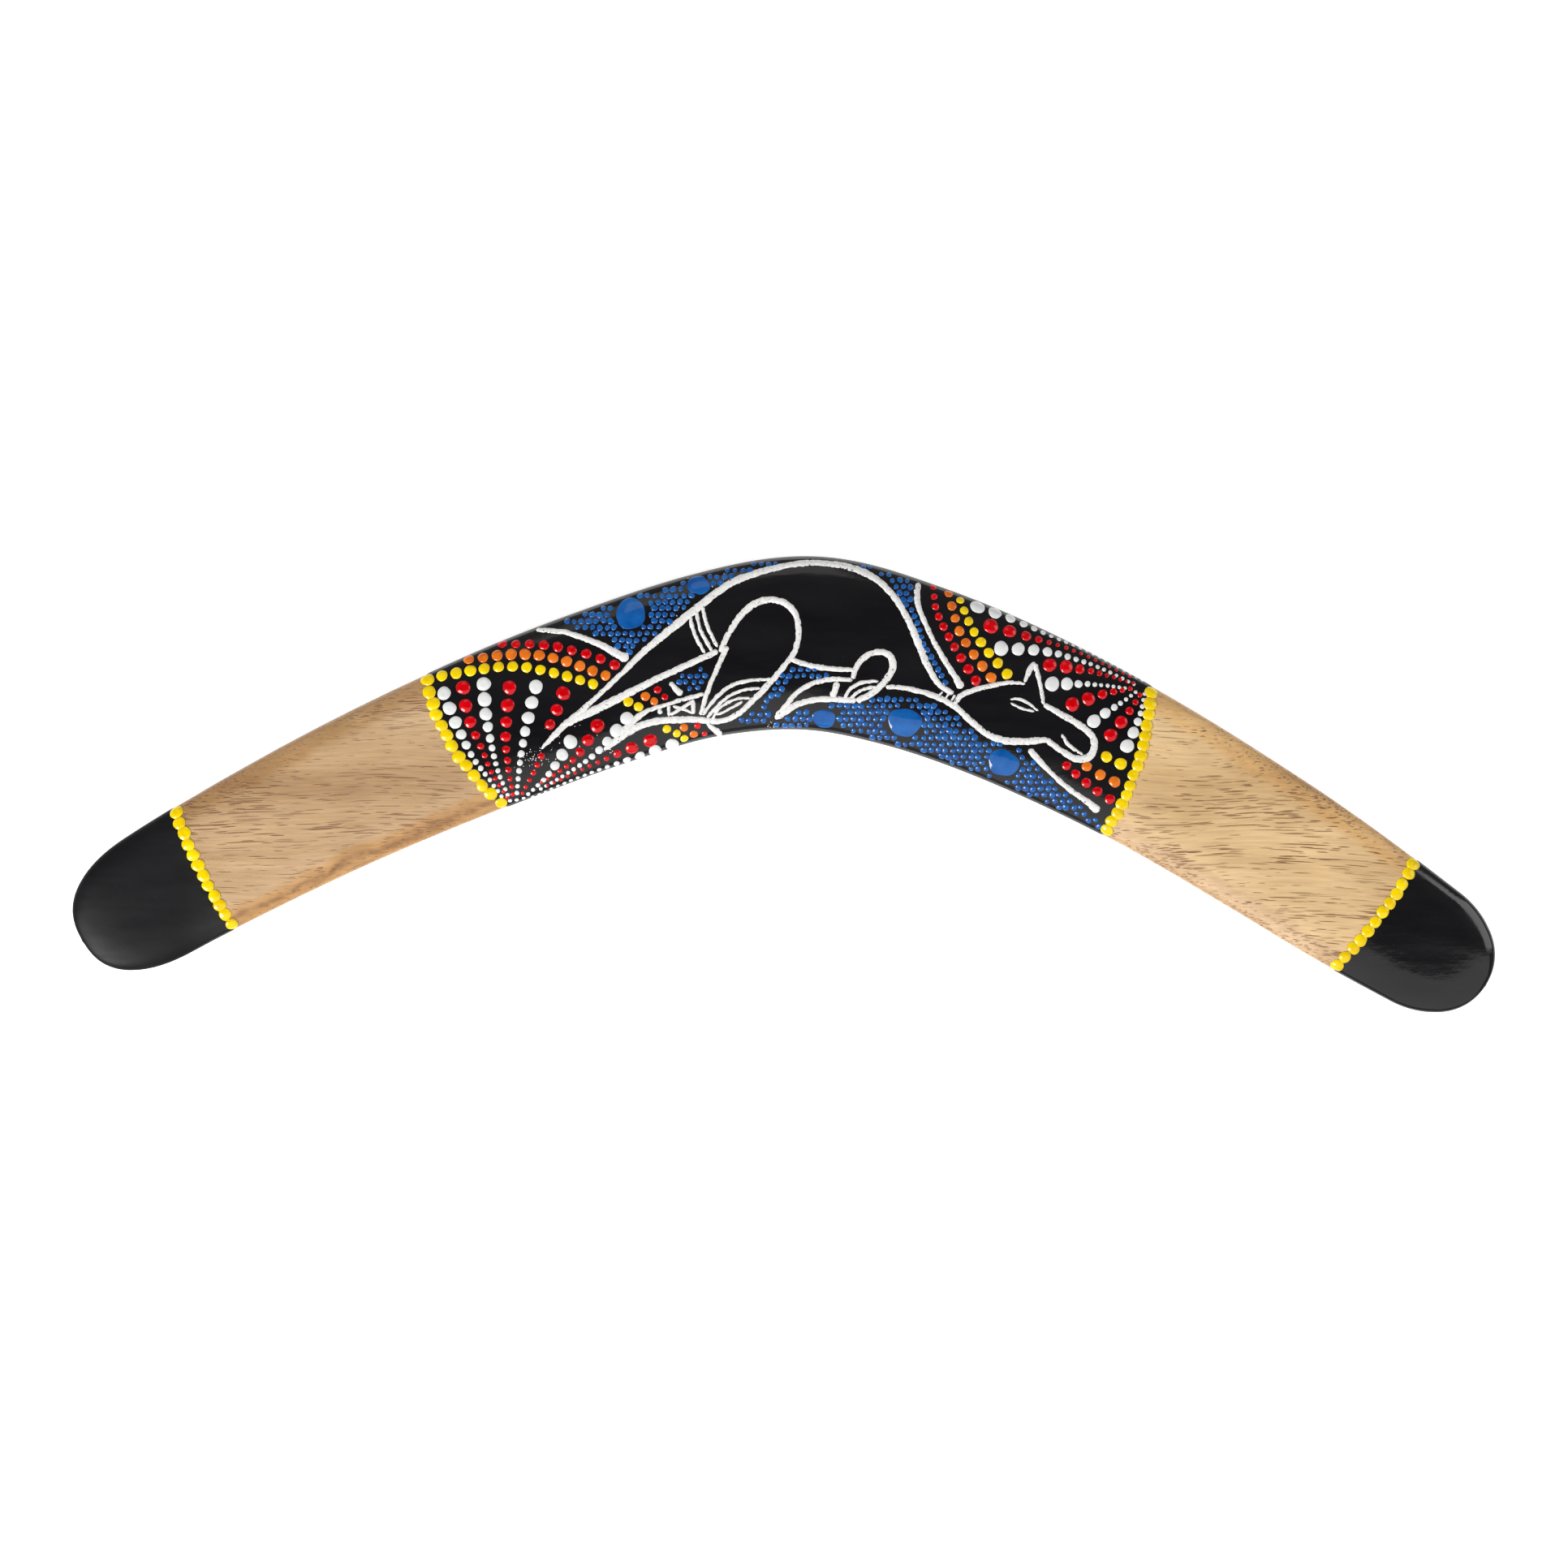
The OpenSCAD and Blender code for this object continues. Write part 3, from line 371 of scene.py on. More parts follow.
def varnished_wood():
    """Pale wood with its grain along X: bands, fibres and brown pores, under satin varnish. Pores are
    thin rods in the wood, so they show as streaks on the flat and as short dots on the bevels."""
    n = Nodes("varnished_wood")
    drift = n.noise((7, 14, 14), 2)
    wander = n.add("ShaderNodeVectorMath", operation="MULTIPLY_ADD")
    n.link(drift, wander.inputs[0])
    wander.inputs[1].default_value = (0, 0.02, 0.006)
    n.link(n.place, wander.inputs[2])
    grain = wander.outputs[0]

    bands = n.noise((6, 60, 100), 4, 0.55, grain)
    figure = n.noise((45, 45, 45), 2, 0.5)
    fibres = n.noise((70, 1600, 1600), 3, 0.6, grain)
    base = n.ramp(bands, [(0.3, (0.50, 0.30, 0.155)), (0.45, (0.60, 0.38, 0.205)),
                          (0.58, (0.66, 0.43, 0.24)), (0.72, (0.72, 0.49, 0.29))])
    threads = n.ramp(fibres, [(0.3, (0.84, 0.81, 0.78)), (0.7, (1.08, 1.08, 1.08))])
    patches = n.ramp(figure, [(0.3, (0.93, 0.92, 0.91)), (0.7, (1.06, 1.06, 1.07))])
    colour = n.mix(1.0, n.mix(1.0, base, threads, "MULTIPLY"), patches, "MULTIPLY")

    # The two bevels differ in tone from the flat, and the left arm from the right: partly the wood's own
    # tone and partly painted light and shade, the right arm painted lighter and the left arm darker, the
    # left arm's bevels darkest, as if lit from the right
    across = n.add("ShaderNodeAttribute", attribute_name="across").outputs["Fac"]
    waver = n.math("SUBTRACT", n.noise((90, 90, 90), 3), 0.5)
    ragged = n.math("ADD", across, n.math("MULTIPLY", waver, 0.22))
    outer = n.remap(ragged, 0.62, 0.8)
    inner = n.remap(ragged, -0.66, -0.8)
    split = n.add("ShaderNodeSeparateXYZ")
    n.link(n.place, split.inputs[0])
    right = n.remap(split.outputs["X"], -0.01, 0.01)
    # Painted light on the right arm and painted shade on the left, mixed into the wood's tone
    outer_bevel_tone_and_painted_shading = n.mix(right, (0.68, 0.62, 0.50), (1.14, 1.08, 0.82))
    inner_bevel_tone_and_painted_shading = n.mix(right, (0.76, 0.65, 0.42), (0.96, 0.98, 0.94))
    flat_tone_and_painted_shading = n.mix(right, (0.82, 0.835, 0.81), (1.14, 1.22, 1.14))
    tone = n.mix(inner, n.mix(outer, flat_tone_and_painted_shading, outer_bevel_tone_and_painted_shading), inner_bevel_tone_and_painted_shading)
    colour = n.mix(1.0, colour, tone, "MULTIPLY")
    # A dark line where the left arm's lower bevel starts, and darker wood at the very edge: partly
    # browner wood, partly painted shade where the edge turns down
    from_ridge = n.math("ABSOLUTE", n.math("ADD", ragged, 0.87), 0)
    ridge = n.math("MULTIPLY", n.remap(from_ridge, 0.0, 0.09, 1, 0), n.math("SUBTRACT", 1, right))
    dapple = n.remap(n.noise((260, 500, 500), 3), 0.3, 0.62, 0.25, 0.8)
    colour = n.mix(n.math("MULTIPLY", ridge, dapple), colour, (0.22, 0.10, 0.035))
    rim = n.remap(n.math("ABSOLUTE", ragged, 0), 0.93, 1.0)
    colour = n.mix(n.math("MULTIPLY", rim, 0.4), colour, (0.28, 0.15, 0.07))

    crowding = n.remap(n.noise((16, 80, 80), 2, 0.5, grain), 0.35, 0.65, 0.17, 0.33)
    pores = 0
    for shift, scale in (((0, 0, 0), (34, 1500, 1500)), ((0.4, 0.3, 0.2), (60, 1700, 1700)),
                         ((0.7, 0.1, 0.5), (120, 1600, 1600))):
        moved = n.add("ShaderNodeVectorMath", operation="ADD")
        n.link(grain, moved.inputs[0])
        moved.inputs[1].default_value = shift
        depth = n.math("SUBTRACT", crowding, n.cells(scale, moved.outputs[0]))
        pores = n.math("MAXIMUM", pores, n.remap(depth, 0.0, 0.1))
    strength = n.remap(n.noise((60, 500, 500), 2), 0.3, 0.65, 0.4, 0.95)
    colour = n.mix(n.math("MULTIPLY", pores, strength), colour, (0.20, 0.09, 0.035))

    roughness = n.remap(n.noise((90, 300, 300), 2), 0.3, 0.7, 0.26, 0.4)
    nibs = n.math("MULTIPLY", n.remap(n.cells((1100, 1100, 1100)), 0.1, 0.25, 1, 0),
                  n.remap(n.noise((60, 60, 60), 3), 0.56, 0.66))
    normal = n.bump(n.math("MULTIPLY", pores, -1), 0.00006)
    normal = n.bump(n.noise((160, 900, 900), 2), 0.00003, 1, normal)
    normal = n.bump(nibs, 0.00005, 1, normal)
    return n.finish(colour, roughness, normal, Coat_Weight=0.3, Coat_Roughness=0.14)


def black_paint():
    """Brushed black enamel: slow waves, orange peel, faint brush marks along X and specks of dust."""
    n = Nodes("black_gloss_paint")
    dust = n.remap(n.cells((650, 650, 650)), 0.03, 0.08, 1, 0)
    sparse = n.remap(n.noise((100, 100, 100), 3), 0.52, 0.66)
    cloud = n.ramp(n.noise((30, 90, 90), 3),
                   [(0.3, (0.005, 0.0045, 0.0055)), (0.7, (0.010, 0.0095, 0.0105))])
    colour = n.mix(n.math("MULTIPLY", n.math("MULTIPLY", dust, sparse), 0.1), cloud, (0.5, 0.5, 0.5))
    gloss = n.remap(n.noise((70, 420, 420), 3), 0.3, 0.75, 0.08, 0.17)
    split = n.add("ShaderNodeSeparateXYZ")
    n.link(n.place, split.inputs[0])
    # The left tip dried to a dull satin
    roughness = n.math("ADD", gloss, n.remap(split.outputs["X"], -0.15, -0.17, 0, 0.28))
    n.link(n.remap(split.outputs["X"], -0.15, -0.17, 0.6, 0.14), n.shader.inputs["Specular IOR Level"])
    normal = n.bump(n.noise((75, 110, 110), 2), 0.00009)
    normal = n.bump(n.noise((600, 700, 700), 2), 0.000016, 1, normal)
    normal = n.bump(n.noise((60, 1400, 1400), 2), 0.000008, 1, normal)
    return n.finish(colour, roughness, normal)


def dot_paint(name, deep, bright, roughness=0.06):
    """Thick glossy paint whose tone drifts a little from dot to dot."""
    n = Nodes(name)
    tone = n.noise((220, 220, 220), 2)
    colour = n.ramp(tone, [(0.3, deep), (0.7, bright)])
    rough = n.remap(n.noise((900, 900, 900), 2), 0.3, 0.7, roughness * 0.7, roughness * 1.4)
    normal = n.bump(n.noise((700, 700, 700), 2), 0.000008)
    return n.finish(colour, rough, normal)


def line_paint():
    """White paint laid with a brush: fine streaks, and black showing through where it is thin."""
    n = Nodes("white_line_paint")
    streaks = n.noise((1300, 1300, 1300), 3)
    colour = n.ramp(streaks, [(0.25, (0.62, 0.61, 0.59)), (0.6, (0.80, 0.79, 0.77))])
    across = n.add("ShaderNodeAttribute", attribute_name="across").outputs["Fac"]
    from_middle = n.math("ABSOLUTE", across, 0)
    edge = n.math("MULTIPLY", n.math("POWER", from_middle, 4), 0.13)
    thin = n.math("ADD", n.noise((1700, 1700, 1700), 2), edge)
    colour = n.mix(n.remap(thin, 0.66, 0.74), colour, (0.02, 0.02, 0.02))
    rough = n.remap(n.noise((600, 600, 600), 2), 0.3, 0.7, 0.35, 0.55)
    normal = n.bump(streaks, 0.00004)
    return n.finish(colour, rough, normal)


WOOD = varnished_wood()
BLACK = black_paint()
PAINTS = {
    "yellow_dot_paint": dot_paint("yellow_dot_paint", (0.76, 0.51, 0.0), (0.94, 0.69, 0.001)),
    "orange_dot_paint": dot_paint("orange_dot_paint", (0.62, 0.12, 0.004), (0.80, 0.19, 0.012)),
    "red_dot_paint": dot_paint("red_dot_paint", (0.47, 0.0, 0.002), (0.66, 0.0, 0.005)),
    "blue_dot_paint": dot_paint("blue_dot_paint", (0.002, 0.07, 0.29), (0.012, 0.12, 0.40)),
    "white_dot_paint": dot_paint("white_dot_paint", (0.68, 0.69, 0.68), (0.76, 0.77, 0.76), 0.08),
    "white_line_paint": line_paint(),
}


# ---------- wood and coats ----------

def build_wood():
    ring = 128
    points, faces = blank_mesh(0, ring)
    across = np.cos(2 * math.pi * (np.arange(len(points)) % ring) / ring)
    return new_piece("carved_wood", points, faces, WOOD, ["wood_blank"], across)


COAT_EDGE = 0.8      # distance from a coat's edge over which its outside swells to full thickness
COAT_SEAT = 0.03     # depth that a coat's inside lies in the wood
END_WRAP = 9         # distance from a tip within which the paint wraps round under the end
EDGE_ARC = 0.3       # length along the section near the edge: share of the girth for each radian


def hand_painted_rim(rim, angles, long_wave, short_wave, phase):
    """x of a rim round the section, with the small waver of a brush."""
    return (rim_x(rim, np.cos(np.radians(angles)))
            + 0.25 * np.sin(angles / long_wave) + 0.12 * np.sin(angles / short_wave + phase))


def build_coat(name, node, rim, goal, columns, rows=120):
    """A closed skin of paint from a rim to another rim, or to a tip of the blank."""
    on_tip = not isinstance(goal, tuple)
    angles = np.linspace(-UNDER_LAP, 180 + UNDER_LAP, rows)[:, None]
    t = np.linspace(0, 1, columns)[None, :]
    start = hand_painted_rim(rim, angles, 9, 3.1, 2)
    if on_tip:
        t = np.sin(t * math.pi / 2)
        end = np.full_like(start, goal)
    else:
        end = hand_painted_rim(goal, angles, 8, 3.7, 1)
    x = start + (end - start) * t
    near_tip = np.maximum(0, 1 - np.abs(goal - x) / END_WRAP) if on_tip else np.zeros_like(x)
    lap = UNDER_LAP + (90 - UNDER_LAP) * near_tip**2
    angles = 90 + (angles - 90) * (90 + lap) / (90 + UNDER_LAP)
    from_rim = np.abs(x - start) if on_tip else np.minimum(np.abs(x - start), np.abs(end - x))
    from_back = np.radians(np.minimum(angles + lap, 180 + lap - angles)) * girth(x) * EDGE_ARC
    near = np.clip(np.minimum(from_rim, from_back) / COAT_EDGE, 0, 1)
    swell = COAT * np.sqrt(1 - (1 - near) ** 2)
    outer = skin(x, angles, swell)
    inner = skin(x, angles, -COAT_SEAT)
    if on_tip:
        tip = skin(goal, 90)
        outer[:, -1] = tip + (math.copysign(COAT, goal), 0, 0)
        inner[:, -1] = tip
    points = np.concatenate([outer.reshape(-1, 3), inner.reshape(-1, 3)])
    count = rows * columns
    flip = float(end.mean()) < float(start.mean())
    faces = quads(rows, columns, flip=flip) + quads(rows, columns, start=count, flip=not flip)
    # A strip of faces round the edges, between the outside and the inside
    grid = np.arange(count).reshape(rows, columns)
    runs = [grid[0], grid[-1][::-1], grid[::-1, 0]] + ([] if on_tip else [grid[:, -1]])
    for run in runs:
        for a, b in zip(run[:-1].tolist(), run[1:].tolist()):
            face = (a, b, b + count, a + count)
            faces.append(face[::-1] if flip else face)
    piece = new_piece(name, points, faces, BLACK, [node])
    tidy(piece)
    return piece


build_wood()
build_coat("left_tip_black", "left_tip_coat", LEFT_TIP_RIM, LEFT_END, 90)
build_coat("elbow_black", "centre_coat", LEFT_PANEL_RIM, RIGHT_PANEL_RIM, 320)
build_coat("right_tip_black", "right_tip_coat", RIGHT_TIP_RIM, RIGHT_END, 90)
SURFACE = painted_surface()


# ---------- raised dots, in the places of the CAD dots ----------

WIDE_DROP = 4.8                            # a wider drop spreads out flat
WIDE_HEIGHT, DROP_HEIGHT = 0.03, 0.13      # height of a drop, as a share of its diameter
WIDE_UNEVEN = 2.4                          # how uneven the outline of a wide drop is
DROP_FOOT = 0.1                            # depth of a drop's closed underside
# Fineness of a drop: [wider than, sides, rings]
DROP_DETAIL = [(2.4, 32, 9), (1.4, 20, 6), (0, 14, 6)]
# Unevenness of a drop's outline: [waves round it, share of the radius]
DROP_WAVES = [(2, 0.035), (3, 0.02), (5, 0.012)]
# Drops against the CAD's dots: [swell, unevenness, stray in millimetres]
BORDER_DROPS = (1.2, 1.3, 0.22)
STIPPLE_DROPS = (1.12, 2.2, 0.12)
FAN_DROPS = (0.97, 1.0, 0.06)


def lay_down(plan, across_u, across_v, offsets):
    """Points and normals of the painted surface under offsets round a place on it."""
    found, normals = [], []
    for a, b in offsets:
        point, normal, _, _ = SURFACE.find_nearest(plan + across_u * a + across_v * b)
        found.append(point)
        normals.append(normal)
    return np.array(found), np.array(normals)


def cad_dots(node):
    """(centre, diameter) in millimetres of each separate solid of a CAD node."""
    bm = bmesh.new()
    bm.from_mesh(frame["nodes"][node].data)
    bmesh.ops.remove_doubles(bm, verts=bm.verts, dist=SAME_PLACE)
    left = set(bm.verts)
    dots = []
    while left:
        stack = [left.pop()]
        island = [stack[0]]
        while stack:
            for edge in stack.pop().link_edges:
                for vert in edge.verts:
                    if vert in left:
                        left.remove(vert)
                        stack.append(vert)
                        island.append(vert)
        corners = np.array([v.co for v in island]) / MM
        centre = (corners.min(0) + corners.max(0)) / 2
        point, normal, _, _ = SURFACE.find_nearest(Vector(centre))
        reach = (corners - centre) - np.outer((corners - centre) @ np.array(normal), normal)
        dots.append((point, 2 * np.linalg.norm(reach, axis=1).max()))
    bm.free()
    return sorted(dots, key=lambda d: tuple(d[0]))


def dome(centre, diameter, rng, uneven_by=1.0):
    """One drop of paint: a rounded dome with a slightly uneven outline, closed underneath.
    Some drops have a dimple where they dried."""
    wide = diameter > WIDE_DROP
    height_share = WIDE_HEIGHT if wide else DROP_HEIGHT
    uneven_by = WIDE_UNEVEN if wide else uneven_by
    radius = diameter / 2
    sides, rings = next((sides, rings) for least, sides, rings in DROP_DETAIL if diameter > least)
    _, normal, _, _ = SURFACE.find_nearest(centre)
    across_u = normal.cross(Vector((0, 1, 0))).normalized()
    across_v = normal.cross(across_u)
    turn = 2 * math.pi * np.arange(sides) / sides
    uneven = np.ones(sides)
    for waves, size in DROP_WAVES:
        uneven += uneven_by * size * np.sin(waves * turn + rng.uniform(0, 2 * math.pi))
    share = np.sin(np.linspace(0, math.pi / 2, rings + 1))[1:]
    height = diameter * height_share * rng.uniform(0.85, 1.1)
    dimple = 0 if wide else rng.choice([0, 0, 0.12, 0.3]) * rng.uniform(0.6, 1)
    offsets = [(0.0, 0.0)]
    heights = [height * (1 - dimple)]
    for s in share:
        profile = max(0, 1 - s**2) ** 0.75 * (1 - dimple * math.exp(-(s / 0.3) ** 2))
        for angle, wobble in zip(turn, uneven):
            reach = radius * s * wobble
            offsets.append((reach * math.cos(angle), reach * math.sin(angle)))
            heights.append(height * profile)
    base, normals = lay_down(centre, across_u, across_v, offsets)
    top = base + normals * np.array(heights)[:, None]
    foot = base[-sides:] - normals[-sides:] * DROP_FOOT
    bottom = base[:1] - normals[:1] * DROP_FOOT
    points = np.concatenate([top, foot, bottom])
    faces = [(0, 1 + j, 1 + (j + 1) % sides) for j in range(sides)]
    for ring in range(rings):
        start = 1 + ring * sides
        for j in range(sides):
            k = (j + 1) % sides
            faces.append((start + j, start + sides + j, start + sides + k, start + k))
    last = 1 + rings * sides
    faces += [(last + sides, last + (j + 1) % sides, last + j) for j in range(sides)]
    return points, faces


def build_dots(node, slot, swell, uneven_by, stray):
    """Domes in the places of a CAD node's dots; swell widens them and stray moves them a little."""
    rng = np.random.default_rng(sum(map(ord, node)))
    drops = []
    for centre, diameter in cad_dots(node):
        centre = centre + Vector((*rng.uniform(-stray, stray, 2), 0))
        drops.append(dome(centre, diameter * swell * rng.uniform(0.94, 1.06), rng, uneven_by))
    points, faces = joined(drops)
    piece = new_piece(node + "_drops", points, faces, PAINTS[slot], [node])
    tidy(piece)
    return piece


SLOTS = {row["node"]: row["material_slot"] for row in frame["record"]["subparts"]}
for node, slot in SLOTS.items():
    if node.endswith("border"):
        build_dots(node, slot, *BORDER_DROPS)
    elif node.endswith("stipple"):
        build_dots(node, slot, *STIPPLE_DROPS)
    elif slot.endswith("dot_paint"):
        build_dots(node, slot, *FAN_DROPS)


# ---------- brush lines, in the places of the CAD lines: [x, y, width] in millimetres ----------

DIVIDERS = [
    [(-69.5, 43.2, 1.2), (-65, 43, 1.4), (-60, 42.2, 1.5), (-52, 39.3, 1.7), (-46.5, 36.3, 2.2),
     (-45, 35.6, 2.6), (-43.6, 34.9, 2.8)],
    [(37.6, 56.5, 1.6), (37.3, 52, 1.8), (38.3, 48, 1.5), (43, 38, 1.5), (48.3, 29.5, 1.9),
     (49.8, 26.8, 2.8)],
    [(68.7, 9.8, 2), (71.5, 6.5, 1.6), (76, 2, 1.5), (80, -1.5, 1.5), (85, -5, 1.8), (88.3, -7.7, 2.6)],
    [(-21.7, 17, 1), (-19.6, 15.4, 1.5), (-17.5, 13.7, 2)],
    [(-32, 28.5, 1.4), (-30.4, 26.8, 1.6), (-28.7, 24.9, 2.2)],
]
BODY_LINES = [
    # back, from the tail's tip over the rump to the shoulder
    [(-68, 9.8, 0.6), (-65, 13, 1.6), (-61.5, 16.5, 1.8), (-54, 23, 1.4), (-46, 30.5, 1.5),
     (-40.5, 36, 1.9), (-32.5, 42.8, 2.2), (-26, 48, 2.3), (-16.5, 55.3, 2.1), (-9, 58.8, 1.9),
     (1, 61.3, 1.7), (9, 62, 1.6), (17.5, 61, 1.8), (24.5, 58.3, 1.9), (30, 53.5, 1.8),
     (34, 47.5, 1.9), (37, 41, 2), (40, 33.5, 1.9), (43.5, 28, 1.6), (47.5, 25.3, 1.5)],
    # underside of the tail
    [(-61, 16.8, 1.8), (-55, 19.8, 2.2), (-50, 22.2, 2.3), (-44, 25.2, 2.1), (-37, 28.8, 1.9),
     (-30, 32, 1.8), (-18.5, 37.3, 1.8)],
    # belly
    [(1.5, 35.3, 1.4), (6, 33.5, 1.6), (12.5, 32.4, 1.6), (19.5, 32, 1.2)],
]
HEAD_LINES = [
    # throat and jaw
    [(28.5, 27.2, 1.3), (34.5, 26.8, 1.5), (41, 25, 1.6), (47.5, 22, 1.8), (52, 18, 1.7),
     (56.5, 14.2, 1.8), (61.5, 12.2, 2), (68.5, 12, 2), (74, 12.5, 1.6)],
    # muzzle and brow
    [(73.5, 12.5, 1.6), (77.5, 9.5, 1.8), (81.5, 7.2, 2), (85.3, 7.4, 2.2), (87, 10.5, 2), (86, 14, 1.8),
     (81.5, 17.4, 1.8), (77.5, 19.6, 1.7), (72.8, 22.3, 1.3)],
    # ear
    [(72.8, 22.3, 1), (71.8, 28, 1.3), (70.3, 33.8, 1.4)],
    [(70.3, 34.2, 1), (68.8, 32, 1.7), (67.4, 28.5, 0.8)],
    # crown, back to the neck
    [(67.6, 28.1, 0.8), (63, 28.4, 1.2), (56.5, 27.2, 1.4), (50, 25, 1.6), (47.7, 22, 1.3)],
    # neck bands, eye and mouth
    [(43.4, 24.6, 0.6), (44.5, 25.9, 0.7)],
    [(45.2, 24, 0.6), (46.3, 25.5, 0.7)],
    [(46.9, 23.4, 0.6), (48, 25, 0.7)],
    [(63.4, 23.7, 0.6), (66.5, 23.6, 0.9), (71.3, 20.5, 0.6)],
    [(63.4, 22.7, 0.5), (66.5, 21.3, 0.9), (70.2, 20.3, 0.5)],
    [(77.8, 14, 0.8), (80, 10.8, 1.1), (83.8, 8.2, 0.8)],
]
ARM_LINES = [
    # elbow loop
    [(19.5, 29.4, 1.3), (20, 32.2, 1.6), (22, 35, 1.7), (25.4, 36.9, 1.7), (28.7, 36.6, 1.8),
     (30.4, 34.4, 1.9), (30.1, 31.6, 2), (27.6, 28, 1.9), (24.2, 25.2, 1.8), (20.3, 23.2, 1.7)],
    # top and underside of the forearm
    [(19.2, 29.1, 1.2), (13.6, 29.4, 1.4), (8, 28.2, 1.4), (3.5, 25.4, 1.4), (0.2, 21.5, 1.5),
     (-2.4, 18.2, 1)],
    [(-2.4, 18.2, 0.9), (0.7, 20.4, 1.7), (4.6, 22.6, 1.7), (10.8, 23.8, 1.7), (16.4, 23.5, 1.7),
     (20.3, 23.5, 1.5)],
    # paw
    [(0.8, 21.2, 1.2), (-1, 19.6, 2.4), (-2.2, 18.4, 1.4)],
    # band on the forearm
    [(14.9, 28.7, 1.8), (14.3, 26.4, 1.8), (13.5, 24.2, 1.8)],
    # folds inside the elbow loop
    [(17, 23.8, 0.9), (18.1, 26, 1.1), (20.6, 28, 1.2), (24.2, 28.8, 1.1), (26.5, 28.8, 0.8)],
    [(18.6, 23.8, 0.8), (20.4, 25.6, 0.9), (23.2, 26.8, 0.9), (26, 27.3, 0.8)],
]
LEG_LINES = [
    # thigh, down into the sole of the foot
    [(-18, 37, 1.4), (-15, 43, 1.7), (-11, 48.5, 1.8), (-6, 51.4, 1.9), (-1.5, 51.4, 1.9), (2.3, 49, 1.8),
     (4, 44.5, 1.7), (3.5, 38.5, 1.6), (1.4, 34.8, 1.6), (-3.3, 29, 1.7), (-7.8, 24.3, 1.7),
     (-13.2, 19.4, 1.6), (-18, 17.6, 1.5), (-23.6, 18, 1.8), (-29.5, 18, 2), (-35.1, 17.6, 2),
     (-41.3, 15.9, 2), (-48, 11.4, 1.8), (-50.5, 9.5, 0.9)],
    # shin
    [(-15.8, 38.6, 1.5), (-18.6, 32.7, 1.4), (-21.4, 26, 1.4), (-23.4, 19.3, 1.2)],
    # sinews between the shin and the sole
    [(-22.8, 19.3, 0.9), (-18.9, 24.3, 1.1), (-14.4, 27.7, 1.1), (-8.8, 29.1, 1), (-3.3, 29.3, 0.9)],
    [(-21.6, 18.6, 0.8), (-16.6, 23.8, 0.9), (-11.6, 26.3, 0.9), (-6.6, 26.8, 0.8)],
    [(-20.2, 18, 0.8), (-17.8, 21.5, 0.9), (-13.3, 23.8, 0.8), (-9.4, 24, 0.7)],
    [(-18.9, 19.3, 0.6), (-14.4, 21.5, 0.8), (-11.6, 23.2, 0.6)],
    # instep and toes
    [(-46.5, 13.6, 1.2), (-41.9, 17.9, 1.9), (-39.1, 20, 1.6), (-36.8, 21.1, 1.1), (-33.5, 22.1, 1.1),
     (-29.6, 23.3, 1.1), (-24, 24.8, 1.2), (-22.4, 25.4, 1.1)],
    [(-34.8, 21.2, 1.1), (-34.7, 19.6, 1.8)],
    [(-32.3, 22.2, 1), (-32.3, 19, 1.1)],
    [(-31.8, 19.3, 0.8), (-28.8, 21.2, 1), (-25.6, 23.2, 0.9)],
    [(-31.2, 21.8, 0.8), (-28.4, 21, 0.9), (-25.3, 19.8, 0.9)],
    [(-25.6, 23.8, 1.2), (-25.3, 19.6, 1.2)],
]
TAIL_BANDS = [
    [(-26.3, 47, 0.9), (-25.2, 42.5, 1.1), (-22.2, 36.6, 0.9)],
    [(-24.6, 48.4, 0.9), (-23.3, 43, 1.1), (-20.2, 37.3, 0.9)],
    [(-22.8, 49.8, 0.9), (-21.4, 44, 1.1), (-18.6, 38.4, 0.9)],
]

LINE_STEP = 0.35          # distance between the sections of a line
LINE_RISE = 0.28          # height of a line, less where it is narrower than FULL_WIDTH
FULL_WIDTH = 1.2
LEAST_HALF_WIDTH = 0.08
LINE_FOOT = 0.08          # depth of a line's closed underside
LINE_POINTS = 9           # points across the top of a section
RAGGED = 0.13             # how far the edge of a line strays, to either side
BRISTLE = 0.16            # how much the bristles change the height, as a share
SPECK_SIZES = (0.12, 0.34)    # least and greatest diameter


def along(knots, t):
    """Points of a smooth curve through the knots, at t from 0 to 1 along the list."""
    knots = np.array(knots, float)
    last = len(knots) - 1
    place = np.minimum(t * last, last - 0.0001)
    i = place.astype(int)
    f = (place - i)[:, None]
    a, b = knots[i], knots[i + 1]
    ma = (b - knots[np.maximum(0, i - 1)]) / 2
    mb = (knots[np.minimum(last, i + 2)] - a) / 2
    return ((2 * f**3 - 3 * f**2 + 1) * a + (f**3 - 2 * f**2 + f) * ma
            + (3 * f**2 - 2 * f**3) * b + (f**3 - f**2) * mb)


def jitter(rng, run, pitch):
    """Random values from -1 to 1 along a run, one every pitch millimetres with straight runs between."""
    knots = np.arange(0, run[-1] + 2 * pitch, pitch)
    return np.interp(run, knots, rng.uniform(-1, 1, len(knots)))


def on_paint(x, y):
    """The painted surface over a plan point, and its normal."""
    point, normal, _, _ = SURFACE.ray_cast(Vector((x, y, 50)), Vector((0, 0, -1)))
    if point is None:
        point, normal, _, _ = SURFACE.find_nearest(Vector((x, y, 3)))
    return np.array(point), np.array(normal)


